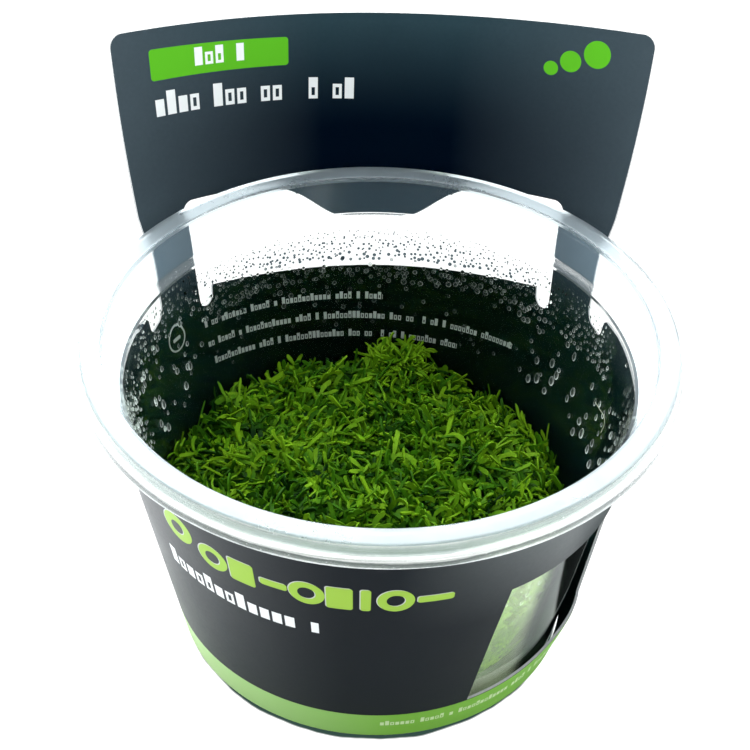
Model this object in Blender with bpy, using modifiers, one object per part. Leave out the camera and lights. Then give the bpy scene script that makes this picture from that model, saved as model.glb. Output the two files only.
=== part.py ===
"""A crystalwort tissue culture cup: clear cup, printed card sleeve, jelly and plant mat.

Metres, +Z up. The origin is the middle of the cup's base, on the surface it stands on.
The front of the sleeve faces -Y and its tall back board stands at +Y.
"""

import math
import random

import bmesh
import bpy
from mathutils import Matrix, Vector, noise

MM = 0.001

# Cup
RIM_HEIGHT = 62.5 * MM
FLANGE_RADIUS = 49.95 * MM
MOUTH_RADIUS = 46.0 * MM
SKIRT_RADIUS = 50.5 * MM
SKIRT_HEIGHT = 4.6 * MM
SKIRT_STEP = 2.2 * MM
FLANGE_THICKNESS = 0.8 * MM
RIM_ROUND = 0.6 * MM
WALL = 0.7 * MM
LEDGE_HEIGHT = 54.6 * MM
LEDGE_RADIUS = 43.05 * MM
LEDGE_WIDTH = 1.5 * MM
LEDGE_RISE = 0.8 * MM
FOOT_RADIUS = 34.15 * MM
FOOT_ROUND = 0.9 * MM
FLOOR_TOP = 1.1 * MM
FLOOR_FILLET = 2.5 * MM
INNER_FOOT_RADIUS = 33.85 * MM
BASE_DISC_RADIUS = 24.6 * MM
GROOVE_RADIUS = 29.6 * MM
GROOVE_DEPTH = 0.5 * MM
GROOVE_SLOPE = 0.4 * MM
CUP_STEPS = 48

# Card sleeve: the middle of the card's thickness
CARD = 0.45 * MM
SLEEVE_FOOT = 2.0 * MM
SLEEVE_FOOT_RADIUS = 35.0 * MM
SLEEVE_SLOPE = 0.1973
JOIN_HEIGHT = 43.5 * MM
BOARD_REACH = 51.3 * MM
BOARD_REACH_HEIGHT = 58.5 * MM
BOARD_LEAN = 0.015
CURVATURE_EASE_LEFT = 298.0
CURVATURE_EASE_RIGHT = 338.0
BOARD_TOP = 93.6 * MM
BOARD_HALF_WIDTH = 48.1 * MM
BOARD_FLARE_LEFT = -0.1 * MM
BOARD_FLARE_RIGHT = 1.0 * MM
BOARD_CORNER = 2.2 * MM
SLEEVE_COLUMNS = 66
FLAT_ROWS = [43.5, 47.0, 50.0, 53.0, 56.0, 59.0, 62.5, 67.0, 73.0, 80.0, 87.0]

# Top edge of the band, which dips at the sides
BAND_TOP_FRONT = 54.2 * MM
BAND_TOP_SIDE = 50.3 * MM
BAND_TOP_LEFT_REAR = 51.2 * MM
BAND_TOP_RIGHT_REAR = 48.8 * MM
BAND_DIP_START = math.radians(72)
BAND_DIP_SPAN = math.radians(16)
BAND_RISE_START = math.radians(96)
BAND_RISE_SPAN = math.radians(34)
BAND_SHOULDER = 0.6 * MM
BAND_TOP_STEPS = 16

# Cutout behind the rim, its tongue and the relief notches
CUTOUT_FOOT = 44.5 * MM
CUTOUT_RISE = 2.2 * MM
CUTOUT_RISE_SPAN = 30.0 * MM
CUTOUT_TOP = 61.3 * MM
CUTOUT_CORNER = 2.0 * MM
POST_INNER_LEFT = 38.2 * MM
POST_INNER_RIGHT = 37.3 * MM
TONGUE_TIP = 52.4 * MM
TONGUE_TIP_HALF = 5.0 * MM
TONGUE_ROOT_HALF = 21.5 * MM
NOTCH_RADIUS = 1.6 * MM
INNER_NOTCH = 34.6 * MM
OUTER_NOTCH = 48.1 * MM
OUTER_NOTCH_RADIUS = 1.9 * MM
OUTER_NOTCH_FOOT = 47.0 * MM

# Side window
WINDOW_AZIMUTH = math.radians(128.2)
WINDOW_HALF_WIDTH = 17.05 * MM
WINDOW_FOOT = 8.9 * MM
WINDOW_TOP = 40.4 * MM

# Jelly and plant
GEL_TOP = 12.0 * MM
CLEARANCE = 0.35 * MM
GEL_DIP = 0.5 * MM
GEL_STEPS = 36
MAT_FOOT = 12.35 * MM
MAT_CROWN = 28.3 * MM
MAT_WAIST = 21.3 * MM
MAT_RADIUS = 36.4 * MM
MAT_SIDE_POWER = 0.34
MAT_CROWN_POWER = 0.55
MAT_SEGMENTS = 26
MAT_RINGS = 12
LUMP_SIZE = 12.0 * MM
LUMP_HEIGHT = 2.0 * MM
FROND_COUNT = 44
FROND_EDGE_GAP = 3.5 * MM
FROND_INWARD_BAND = 9.0 * MM
FROND_SPIRAL_STEP = math.pi * (3.0 - math.sqrt(5.0))
FROND_TURN = math.radians(80)
FROND_LOW = math.radians(14)
FROND_STEEP = math.radians(34)
FROND_LENGTH = 7.5 * MM
FROND_FORK = 3.0 * MM
FROND_WIDTH = 1.6 * MM
FROND_SPREAD = math.radians(27)
FROND_THICKNESS = 0.9 * MM
FROND_ROOT_DEPTH = 0.9 * MM
TUFT_PLACE = (3.0 * MM, 32.5 * MM)
TUFT_COUNT = 4
TUFT_TURN = math.radians(70)
TUFT_STEEP = math.radians(66)
TUFT_STEP = math.radians(5)
TUFT_SPREAD = 0.7 * MM
SEED = 1

PARTS_NAME = "crystalwort_culture_cup"
CUTTERS_NAME = "cutters"


def clear_scene():
    """Remove every object that is in the scene."""
    for obj in list(bpy.data.objects):
        bpy.data.objects.remove(obj, do_unlink=True)


def collection(name):
    """Return a new collection linked to the scene."""
    group = bpy.data.collections.new(name)
    bpy.context.scene.collection.children.link(group)
    return group


def material(name, colour, roughness, alpha=1.0, transmission=0.0):
    """Return a Principled BSDF material with plain values."""
    made = bpy.data.materials.new(name)
    made.use_nodes = True
    shader = made.node_tree.nodes["Principled BSDF"]
    shader.inputs["Base Color"].default_value = (*colour, 1.0)
    shader.inputs["Roughness"].default_value = roughness
    shader.inputs["Metallic"].default_value = 0.0
    shader.inputs["Alpha"].default_value = alpha
    shader.inputs["Transmission Weight"].default_value = transmission
    return made


def mesh_object(name, mesh, group, finish=None):
    """Link a mesh to the scene as a named object with one material."""
    obj = bpy.data.objects.new(name, mesh)
    group.objects.link(obj)
    if finish:
        mesh.materials.append(finish)
    return obj


def arc(centre_x, centre_z, radius, start, end, steps):
    """Return points on an arc, angles in degrees from +X towards +Z."""
    points = []
    for step in range(steps + 1):
        angle = math.radians(start + (end - start) * step / steps)
        points.append((centre_x + radius * math.cos(angle), centre_z + radius * math.sin(angle)))
    return points


def ease(value):
    """Return a smooth step of a value between 0 and 1."""
    held = min(1.0, max(0.0, value))
    return held * held * (3.0 - 2.0 * held)


def turned(name, profile, steps, group, finish):
    """Make a turned solid from (radius, height) points that run down its outer side."""
    mesh = bpy.data.meshes.new(name)
    edges = [(i, i + 1) for i in range(len(profile) - 1)]
    mesh.from_pydata([(radius, 0.0, height) for radius, height in profile], edges, [])
    obj = mesh_object(name, mesh, group, finish)
    screw = obj.modifiers.new("turn", "SCREW")
    screw.steps = steps
    screw.render_steps = steps
    screw.use_merge_vertices = True
    screw.merge_threshold = 0.00001
    screw.use_smooth_shade = True
    return obj


def inner_wall_radius(height):
    """Return the radius of the cup's inner wall below the ledge."""
    low = FLOOR_TOP + FLOOR_FILLET
    slope = (LEDGE_RADIUS - INNER_FOOT_RADIUS) / (LEDGE_HEIGHT - low)
    return INNER_FOOT_RADIUS + slope * (height - low)


def cup_profile():
    """Return the cup's section: floor, inner wall, rim, skirt, outer wall and base."""
    skirt_foot = RIM_HEIGHT - SKIRT_HEIGHT
    skirt_step = RIM_HEIGHT - SKIRT_STEP
    skirt_inner = SKIRT_RADIUS - WALL
    flange_under = RIM_HEIGHT - FLANGE_THICKNESS
    floor_edge = INNER_FOOT_RADIUS - FLOOR_FILLET
    inside = [(0.0, FLOOR_TOP)]
    inside += arc(floor_edge, FLOOR_TOP + FLOOR_FILLET, FLOOR_FILLET, -90, 0, 4)
    inside += [
        (LEDGE_RADIUS, LEDGE_HEIGHT),
        (LEDGE_RADIUS + LEDGE_WIDTH, LEDGE_HEIGHT + LEDGE_RISE),
        (LEDGE_RADIUS + 1.25 * LEDGE_WIDTH, LEDGE_HEIGHT + 1.5 * LEDGE_RISE),
    ]
    rim = arc(MOUTH_RADIUS + RIM_ROUND, RIM_HEIGHT - RIM_ROUND, RIM_ROUND, 180, 90, 3)
    rim += arc(FLANGE_RADIUS - RIM_ROUND, RIM_HEIGHT - RIM_ROUND, RIM_ROUND, 90, 0, 3)
    skirt = [
        (FLANGE_RADIUS + 0.1 * WALL, skirt_step),
        (SKIRT_RADIUS - 0.1 * WALL, skirt_step - 0.5 * WALL),
        (SKIRT_RADIUS, skirt_foot),
        (skirt_inner, skirt_foot),
        (FLANGE_RADIUS - WALL, flange_under),
    ]
    outside = [
        (MOUTH_RADIUS + WALL, flange_under),
        (MOUTH_RADIUS + 0.7 * WALL, flange_under - 0.5 * WALL),
        (LEDGE_RADIUS + LEDGE_WIDTH + 1.4 * WALL, LEDGE_HEIGHT + 0.9 * LEDGE_RISE),
        (LEDGE_RADIUS + LEDGE_WIDTH + WALL, LEDGE_HEIGHT + 0.4 * LEDGE_RISE),
        (LEDGE_RADIUS + WALL, LEDGE_HEIGHT - 0.3 * LEDGE_RISE),
    ]
    outside += arc(FOOT_RADIUS - FOOT_ROUND, FOOT_ROUND, FOOT_ROUND, 0, -90, 3)
    base = [
        (GROOVE_RADIUS + GROOVE_SLOPE, 0.0),
        (GROOVE_RADIUS, GROOVE_DEPTH),
        (BASE_DISC_RADIUS + GROOVE_SLOPE, GROOVE_DEPTH),
        (BASE_DISC_RADIUS, 0.0),
        (0.0, 0.0),
    ]
    return inside + rim + skirt + outside + base


def make_cup(group):
    """Turn the clear cup."""
    finish = material("clear_plastic", (0.93, 0.96, 0.95), 0.06, 0.35, 1.0)
    return turned("cup", cup_profile(), CUP_STEPS, group, finish)


def sleeve_radius(height):
    """Return the radius of the tapering band of the sleeve."""
    return SLEEVE_FOOT_RADIUS + SLEEVE_SLOPE * (height - SLEEVE_FOOT)


def ring_point(across, height):
    """Place a point of the flat card on the tapering band."""
    angle = across / sleeve_radius(JOIN_HEIGHT)
    radius = sleeve_radius(height)
    return Vector((radius * math.sin(angle), radius * math.cos(angle), height))


def board_point(across, height):
    """Place a point of the flat card on the back board, whose curve flattens with height."""
    join_radius = sleeve_radius(JOIN_HEIGHT)
    above = height - JOIN_HEIGHT
    flattening = CURVATURE_EASE_RIGHT if across > 0 else CURVATURE_EASE_LEFT
    curvature = 1.0 / join_radius - flattening * above
    run = BOARD_REACH_HEIGHT - JOIN_HEIGHT
    part = min(1.0, above / run)
    start = SLEEVE_SLOPE * run * (part - 2.0 * part ** 2 + part ** 3)
    reach = join_radius + start + (BOARD_REACH - join_radius) * ease(part)
    reach += BOARD_LEAN * max(0.0, height - BOARD_REACH_HEIGHT)
    angle = across * curvature
    return Vector((math.sin(angle) / curvature, reach - (1.0 - math.cos(angle)) / curvature, height))


def card_point(across, height):
    """Wrap a point of the flat card: the band is a cone and the board springs off it."""
    if height <= JOIN_HEIGHT:
        return ring_point(across, height)
    if height >= RIM_HEIGHT:
        return board_point(across, height)
    outer = OUTER_NOTCH + OUTER_NOTCH_RADIUS
    share = ease((outer - abs(across)) / (outer - BOARD_HALF_WIDTH))
    if share <= 0.0:
        return ring_point(across, height)
    return ring_point(across, height).lerp(board_point(across, height), share)


def seam_reach():
    """Return half the length of the flat band, from the back to the seam."""
    return math.pi * sleeve_radius(JOIN_HEIGHT)


def band_top(across):
    """Return the height of the band's top edge, which dips at both sides of the cup."""
    angle = abs(across) / sleeve_radius(JOIN_HEIGHT)
    rear = BAND_TOP_RIGHT_REAR if across > 0 else BAND_TOP_LEFT_REAR
    to_side = ease((angle - BAND_DIP_START) / BAND_DIP_SPAN)
    to_front = ease((angle - BAND_RISE_START) / BAND_RISE_SPAN)
    height = rear + (BAND_TOP_SIDE - rear) * to_side
    return height + (BAND_TOP_FRONT - BAND_TOP_SIDE) * to_front


def half_outline(side):
    """Return the card's outline from the seam to the middle of the board's top edge."""
    start = seam_reach()
    shoulder = OUTER_NOTCH + OUTER_NOTCH_RADIUS
    points = []
    for step in range(BAND_TOP_STEPS + 1):
        across = start + (shoulder + BAND_SHOULDER - start) * step / BAND_TOP_STEPS
        points.append((side * across, band_top(side * across)))
    notch_level = OUTER_NOTCH_FOOT + OUTER_NOTCH_RADIUS
    points.append((side * shoulder, band_top(side * shoulder) - BAND_SHOULDER))
    for x, z in arc(OUTER_NOTCH, notch_level, OUTER_NOTCH_RADIUS, 0, -180, 6):
        points.append((side * x, z))
    points.append((side * BOARD_HALF_WIDTH, RIM_HEIGHT))
    flare = BOARD_FLARE_RIGHT if side > 0 else BOARD_FLARE_LEFT
    corner_x = BOARD_HALF_WIDTH + flare - BOARD_CORNER
    corner_z = BOARD_TOP - BOARD_CORNER
    for x, z in arc(corner_x, corner_z, BOARD_CORNER, 0, 90, 4):
        points.append((side * x, z))
    return points


def half_cutout(side):
    """Return one half of the cutout, from the middle of its foot to the tongue's tip."""
    edge_end = INNER_NOTCH - NOTCH_RADIUS
    points = []
    for step in range(5):
        across = edge_end * step / 4
        points.append((side * across, CUTOUT_FOOT + CUTOUT_RISE * (across / CUTOUT_RISE_SPAN) ** 2))
    notch_level = CUTOUT_FOOT + NOTCH_RADIUS
    for x, z in arc(INNER_NOTCH, notch_level, NOTCH_RADIUS, 180, 360, 6)[1:]:
        points.append((side * x, z))
    post_inner = POST_INNER_RIGHT if side > 0 else POST_INNER_LEFT
    for x, z in arc(post_inner - CUTOUT_CORNER, CUTOUT_TOP - CUTOUT_CORNER, CUTOUT_CORNER, 0, 90, 3):
        points.append((side * x, z))
    for step in range(7):
        share = step / 6
        across = TONGUE_ROOT_HALF + (TONGUE_TIP_HALF - TONGUE_ROOT_HALF) * share
        points.append((side * across, CUTOUT_TOP + (TONGUE_TIP - CUTOUT_TOP) * ease(share)))
    return points


def window_outline():
    """Return the side window's outline on the flat card: a rectangle of constant width."""
    points = []
    for height, sides in ((WINDOW_FOOT, (-1, 1)), (WINDOW_TOP, (1, -1))):
        half = WINDOW_HALF_WIDTH / sleeve_radius(height)
        for sign in sides:
            points.append((sleeve_radius(JOIN_HEIGHT) * (WINDOW_AZIMUTH + sign * half), height))
    return points


def blank_outlines():
    """Return the closed outlines of the die-cut card: its edge, the cutout and the window."""
    foot = [(seam_reach(), SLEEVE_FOOT)]
    right = half_outline(1)
    left = half_outline(-1)[::-1]
    edge = foot + right + left + [(-seam_reach(), SLEEVE_FOOT)]
    cutout = half_cutout(-1)[:0:-1] + half_cutout(1)
    return [edge, cutout, window_outline()]


def filled_mesh(curve, outlines):
    """Fill closed outlines in a 2D curve and return the result as a mesh."""
    for outline in outlines:
        spline = curve.splines.new("POLY")
        spline.points.add(len(outline) - 1)
        spline.use_cyclic_u = True
        for point, (x, y) in zip(spline.points, outline):
            point.co = (x, y, 0.0, 1.0)
    holder = bpy.data.objects.new(curve.name, curve)
    bpy.context.scene.collection.objects.link(holder)
    bpy.context.view_layer.update()
    depsgraph = bpy.context.evaluated_depsgraph_get()
    mesh = bpy.data.meshes.new_from_object(holder.evaluated_get(depsgraph))
    bpy.data.objects.remove(holder, do_unlink=True)
    return mesh


def flat_blank():
    """Return the die-cut card as a flat mesh in the XY plane."""
    curve = bpy.data.curves.new("card_blank", "CURVE")
    curve.dimensions = "2D"
    curve.fill_mode = "BOTH"
    return filled_mesh(curve, blank_outlines())


def slice_blank(cells, columns, rows):
    """Cut the flat card along straight columns and rows, so that it can bend there."""
    for across in columns:
        geometry = cells.verts[:] + cells.edges[:] + cells.faces[:]
        bmesh.ops.bisect_plane(cells, geom=geometry, dist=1e-7, plane_co=(across, 0, 0), plane_no=(1, 0, 0))
    for height in rows:
        geometry = cells.verts[:] + cells.edges[:] + cells.faces[:]
        bmesh.ops.bisect_plane(cells, geom=geometry, dist=1e-7, plane_co=(0, height, 0), plane_no=(0, 1, 0))


def merge_cells(cells, columns, rows):
    """Join the triangles that lie in one cell between the cuts into one face."""
    groups = {}
    for face in cells.faces:
        middle = face.calc_center_median()
        column = sum(1 for across in columns if middle.x > across)
        row = sum(1 for height in rows if middle.y > height)
        groups.setdefault((column, row), []).append(face)
    for faces in groups.values():
        edges = {}
        for face in faces:
            for edge in face.edges:
                edges[edge] = edges.get(edge, 0) + 1
        inner = [edge for edge, count in edges.items() if count > 1]
        if inner:
            bmesh.ops.dissolve_edges(cells, edges=inner, use_verts=False)


def straighten(cells):
    """Remove the vertices that only divide a straight edge in two."""
    spare = []
    for vertex in cells.verts:
        if len(vertex.link_edges) != 2:
            continue
        first, second = (edge.other_vert(vertex).co - vertex.co for edge in vertex.link_edges)
        if first.angle(-second, 0.0) < 1e-3:
            spare.append(vertex)
    bmesh.ops.dissolve_verts(cells, verts=spare)


def make_sleeve(group):
    """Cut the card flat, slice it, wrap it round the cup and give it its thickness."""
    mesh = flat_blank()
    cells = bmesh.new()
    cells.from_mesh(mesh)
    bmesh.ops.remove_doubles(cells, verts=cells.verts, dist=1e-6)
    span = 2.0 * seam_reach() / SLEEVE_COLUMNS
    columns = [span * step - seam_reach() for step in range(1, SLEEVE_COLUMNS)]
    rows = [height * MM for height in FLAT_ROWS]
    slice_blank(cells, columns, rows)
    merge_cells(cells, columns, rows)
    straighten(cells)
    for vertex in cells.verts:
        vertex.co = card_point(vertex.co.x, vertex.co.y)
    bmesh.ops.remove_doubles(cells, verts=cells.verts, dist=2e-5)
    bmesh.ops.recalc_face_normals(cells, faces=cells.faces)
    cells.to_mesh(mesh)
    cells.free()
    finish = material("printed_card", (0.012, 0.02, 0.03), 0.45)
    obj = mesh_object("sleeve", mesh, group, finish)
    shell = obj.modifiers.new("thickness", "SOLIDIFY")
    shell.thickness = CARD
    shell.offset = 0.0
    shell.use_even_offset = True
    return obj


def make_gel(group):
    """Turn the jelly that fills the bottom of the cup."""
    floor_edge = INNER_FOOT_RADIUS - FLOOR_FILLET
    wall_foot = FLOOR_TOP + FLOOR_FILLET
    profile = [
        (0.0, GEL_TOP - GEL_DIP),
        (inner_wall_radius(GEL_TOP) - CLEARANCE - 4 * GEL_DIP, GEL_TOP - GEL_DIP),
        (inner_wall_radius(GEL_TOP) - CLEARANCE - GEL_DIP, GEL_TOP - GEL_DIP / 2),
        (inner_wall_radius(GEL_TOP) - CLEARANCE, GEL_TOP),
    ]
    profile += arc(floor_edge, wall_foot, FLOOR_FILLET - CLEARANCE, 0, -90, 4)
    profile += [(0.0, FLOOR_TOP + CLEARANCE)]
    finish = material("clear_jelly", (0.72, 0.78, 0.62), 0.15, 0.6, 0.6)
    return turned("nutrient_gel", profile, GEL_STEPS, group, finish)


def mat_surface(direction):
    """Return a point of the lumpy dome in a given direction from its middle."""
    flat = math.hypot(direction.x, direction.y)
    angle = math.atan2(direction.y, direction.x)
    rise = math.asin(max(-1.0, min(1.0, direction.z)))
    radius = MAT_RADIUS * math.cos(rise) ** MAT_SIDE_POWER if flat > 1e-6 else 0.0
    if rise <= 0.0:
        height = MAT_WAIST + (MAT_FOOT - MAT_WAIST) * math.sin(-rise) ** MAT_SIDE_POWER
        radius += inner_wall_radius(height) - inner_wall_radius(MAT_WAIST)
        radius = max(0.0, radius)
        return Vector((radius * math.cos(angle), radius * math.sin(angle), height))
    height = MAT_WAIST + (MAT_CROWN - MAT_WAIST) * math.sin(rise) ** MAT_CROWN_POWER
    spot = Vector((radius * math.cos(angle), radius * math.sin(angle), height))
    spot.z += LUMP_HEIGHT * noise.noise(spot / LUMP_SIZE) * math.sin(rise)
    return spot


def mat_height(x, y):
    """Return the height of the dome above a place, found from the surface itself."""
    flat = min(0.999, math.hypot(x, y) / MAT_RADIUS)
    rise = math.acos(flat ** (1.0 / MAT_SIDE_POWER))
    angle = math.atan2(y, x)
    level = Vector((math.cos(angle), math.sin(angle), 0.0)) * math.cos(rise)
    return mat_surface(level + Vector((0.0, 0.0, math.sin(rise)))).z


def frond_mesh():
    """Return one forked flat ribbon as a closed solid, its root at the origin, growing along +X."""
    half = FROND_WIDTH / 2
    along = Vector((math.cos(FROND_SPREAD), math.sin(FROND_SPREAD)))
    aside = Vector((-along.y, along.x))
    tip = Vector((FROND_FORK, 0.0)) + along * (FROND_LENGTH - FROND_FORK)
    outer = tip + aside * half
    inner = tip - aside * half
    crotch = Vector((FROND_FORK + FROND_WIDTH, 0.0))
    outline = [(0.0, half), outer, inner, crotch, (inner.x, -inner.y), (outer.x, -outer.y), (0.0, -half)]
    curve = bpy.data.curves.new("frond", "CURVE")
    curve.dimensions = "2D"
    curve.fill_mode = "BOTH"
    curve.extrude = FROND_THICKNESS / 2
    return filled_mesh(curve, [outline])


def frond_places(rng):
    """Return where each frond grows: an even spiral over the dome, and a tuft at the back."""
    places = []
    for index in range(FROND_COUNT):
        radius = (MAT_RADIUS - FROND_EDGE_GAP) * math.sqrt((index + 0.5) / FROND_COUNT)
        angle = index * FROND_SPIRAL_STEP
        inward = math.pi if radius > MAT_RADIUS - FROND_INWARD_BAND else 0.0
        turn = angle + inward + rng.uniform(-FROND_TURN, FROND_TURN)
        lift = rng.uniform(FROND_LOW, FROND_STEEP)
        places.append((radius * math.cos(angle), radius * math.sin(angle), turn, lift))
    for index in range(TUFT_COUNT):
        turn = math.pi + TUFT_TURN * index
        x = TUFT_PLACE[0] + TUFT_SPREAD * math.cos(turn)
        y = TUFT_PLACE[1] + TUFT_SPREAD * math.sin(turn)
        places.append((x, y, turn, TUFT_STEEP - TUFT_STEP * index))
    return places


def make_mat(group, cutters):
    """Grow the plant: a lumpy dome with forked ribbons joined to it in one solid."""
    rng = random.Random(SEED)
    dome = bmesh.new()
    bmesh.ops.create_uvsphere(dome, u_segments=MAT_SEGMENTS, v_segments=MAT_RINGS, radius=1.0)
    for vertex in dome.verts:
        vertex.co = mat_surface(vertex.co.normalized())
    bmesh.ops.remove_doubles(dome, verts=dome.verts, dist=1e-5)
    bmesh.ops.recalc_face_normals(dome, faces=dome.faces)
    mesh = bpy.data.meshes.new("crystalwort_mat")
    dome.to_mesh(mesh)
    dome.free()
    finish = material("green_plant", (0.16, 0.36, 0.02), 0.5)
    obj = mesh_object("crystalwort_mat", mesh, group, finish)

    template = frond_mesh()
    fronds = bmesh.new()
    for x, y, turn, lift in frond_places(rng):
        start = Vector((x, y, mat_height(x, y) - FROND_ROOT_DEPTH))
        pose = Matrix.Translation(start) @ Matrix.Rotation(turn, 4, "Z") @ Matrix.Rotation(-lift, 4, "Y")
        count = len(fronds.verts)
        fronds.from_mesh(template)
        fronds.verts.ensure_lookup_table()
        bmesh.ops.transform(fronds, matrix=pose, verts=fronds.verts[count:])
    bmesh.ops.remove_doubles(fronds, verts=fronds.verts, dist=1e-6)
    bmesh.ops.recalc_face_normals(fronds, faces=fronds.faces)
    frond_all = bpy.data.meshes.new("fronds")
    fronds.to_mesh(frond_all)
    fronds.free()
    cutter = mesh_object("fronds", frond_all, cutters)
    cutter.hide_render = True
    cutter.display_type = "WIRE"
    join = obj.modifiers.new("grown_together", "BOOLEAN")
    join.operation = "UNION"
    join.object = cutter
    join.use_self = True
    return obj


def main():
    """Build the cup, its sleeve, the jelly and the plant."""
    clear_scene()
    parts = collection(PARTS_NAME)
    cutters = collection(CUTTERS_NAME)
    make_cup(parts)
    make_sleeve(parts)
    make_gel(parts)
    make_mat(parts, cutters)


main()
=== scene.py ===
"""Looks of the crystalwort tissue culture cup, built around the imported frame.

Metres, +Z up, in the frame of the part: the cup stands on its base at the origin, the front of
the card sleeve faces -Y and its tall back board stands at +Y.
"""

import logging
import math
import random
from contextlib import contextmanager
from dataclasses import dataclass, field
from enum import Enum
from functools import reduce
from typing import Iterator, Optional, Sequence

import bmesh
import bpy
import numpy as np
from mathutils import Matrix, Vector, noise


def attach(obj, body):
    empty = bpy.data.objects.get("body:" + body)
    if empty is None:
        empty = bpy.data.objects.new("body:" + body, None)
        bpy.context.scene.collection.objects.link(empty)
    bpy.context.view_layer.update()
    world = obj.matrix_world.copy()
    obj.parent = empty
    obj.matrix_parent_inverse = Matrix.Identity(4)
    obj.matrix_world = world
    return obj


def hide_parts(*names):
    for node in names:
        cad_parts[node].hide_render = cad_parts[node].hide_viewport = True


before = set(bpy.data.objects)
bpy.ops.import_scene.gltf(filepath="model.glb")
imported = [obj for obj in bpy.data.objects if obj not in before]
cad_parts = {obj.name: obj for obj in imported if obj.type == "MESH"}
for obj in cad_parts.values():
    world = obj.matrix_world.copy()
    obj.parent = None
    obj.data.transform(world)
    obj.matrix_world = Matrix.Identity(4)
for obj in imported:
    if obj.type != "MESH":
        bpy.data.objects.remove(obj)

MM = 0.001
ROOT = "root"
LOG = logging.getLogger("culture_cup")

Point2 = tuple[float, float]
Colour = tuple[float, float, float]
Piece = bpy.types.Object
Node = bpy.types.Node
Socket = bpy.types.NodeSocket

BLACK: Colour = (0.0, 0.0, 0.0)
WHITE: Colour = (1.0, 1.0, 1.0)


class Slot(Enum):
    """Material slots of the part's record."""

    PLASTIC = "clear_plastic"
    CARD = "printed_card"
    JELLY = "clear_jelly"
    PLANT = "green_plant"


class CardSide(Enum):
    """The two printed sides of the card."""

    OUTER = "outer"
    INNER = "inner"


# Working by hand with operators


def deselect_all() -> None:
    """Leave edit mode and deselect every object."""
    if bpy.context.object and bpy.context.object.mode != "OBJECT":
        bpy.ops.object.mode_set(mode="OBJECT")
    bpy.ops.object.select_all(action="DESELECT")


def take(piece: Piece) -> None:
    """Select one object alone and make it active."""
    deselect_all()
    piece.select_set(True)
    bpy.context.view_layer.objects.active = piece


@contextmanager
def editing(piece: Piece) -> Iterator[None]:
    """Hold one object in edit mode with everything deselected."""
    take(piece)
    bpy.ops.object.mode_set(mode="EDIT")
    bpy.ops.mesh.select_mode(type="VERT")
    bpy.ops.mesh.select_all(action="DESELECT")
    yield
    bpy.ops.object.mode_set(mode="OBJECT")


def select_places(piece: Piece, places: Sequence[Vector], reach: float = 1e-6) -> None:
    """Select the vertices of the edited mesh that lie at given places.

    Args:
        piece: the object in edit mode.
        places: where the vertices lie.
        reach: how far a vertex may be from its place.
    """
    bpy.ops.mesh.select_all(action="DESELECT")
    cells = bmesh.from_edit_mesh(piece.data)
    for vertex in cells.verts:
        vertex.select = any((vertex.co - place).length < reach for place in places)
    cells.select_flush(True)
    bmesh.update_edit_mesh(piece.data)


def selected_places(piece: Piece) -> list[Vector]:
    """Return the places of the selected vertices of the edited mesh."""
    return [vertex.co.copy() for vertex in bmesh.from_edit_mesh(piece.data).verts if vertex.select]


def settle(piece: Piece) -> None:
    """Put an object's place, turn and size into its mesh."""
    take(piece)
    bpy.ops.object.transform_apply(location=True, rotation=True, scale=True)


def smooth(piece: Piece, angle: float) -> None:
    """Shade a piece smooth, with sharp edges past an angle in degrees."""
    take(piece)
    bpy.ops.object.shade_smooth_by_angle(angle=math.radians(angle))


def from_curve(curve: bpy.types.Curve) -> Piece:
    """Turn a drawn curve into a mesh piece of the same name."""
    piece = bpy.data.objects.new(curve.name, curve)
    bpy.context.scene.collection.objects.link(piece)
    take(piece)
    bpy.ops.object.convert(target="MESH")
    return bpy.context.object


def thicken(piece: Piece, thickness: float, **settings: object) -> None:
    """Give a flat piece an even thickness to both sides."""
    shell = piece.modifiers.new("thickness", "SOLIDIFY")
    shell.thickness = thickness
    shell.offset = 0.0
    for name, value in settings.items():
        setattr(shell, name, value)
    take(piece)
    bpy.ops.object.modifier_apply(modifier=shell.name)


def dress(piece: Piece, finishes: Sequence[bpy.types.Material], node: str) -> None:
    """Give a finished piece its materials and its place in the frame.

    Args:
        piece: the finished object.
        finishes: its materials, one for each slot of the mesh.
        node: the frame node that it stands for.
    """
    piece.data.materials.clear()
    for finish in finishes:
        piece.data.materials.append(finish)
    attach(piece, ROOT)
    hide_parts(node)
    LOG.info("%s: %d faces", piece.name, len(piece.data.polygons))


def arc(centre: Point2, radius: float, start: float, end: float, steps: int) -> list[Point2]:
    """Return points on an arc.

    Args:
        centre: the arc's middle.
        radius: its radius.
        start: first angle in degrees, from the first axis towards the second.
        end: last angle in degrees.
        steps: how many stretches the arc has.

    Returns:
        The points, first to last.
    """
    points = []
    for step in range(steps + 1):
        angle = math.radians(start + (end - start) * step / steps)
        points.append((centre[0] + radius * math.cos(angle), centre[1] + radius * math.sin(angle)))
    return points


def mirrored(side: int, points: Sequence[Point2]) -> list[Point2]:
    """Return points on the left (-1) or the right (1)."""
    return [(side * across, height) for across, height in points]


def held(value: float) -> float:
    """Hold a value between 0 and 1."""
    return min(1.0, max(0.0, value))


def ease(value: float) -> float:
    """Return a smooth step of a value between 0 and 1."""
    share = held(value)
    return share * share * (3.0 - 2.0 * share)


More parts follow.
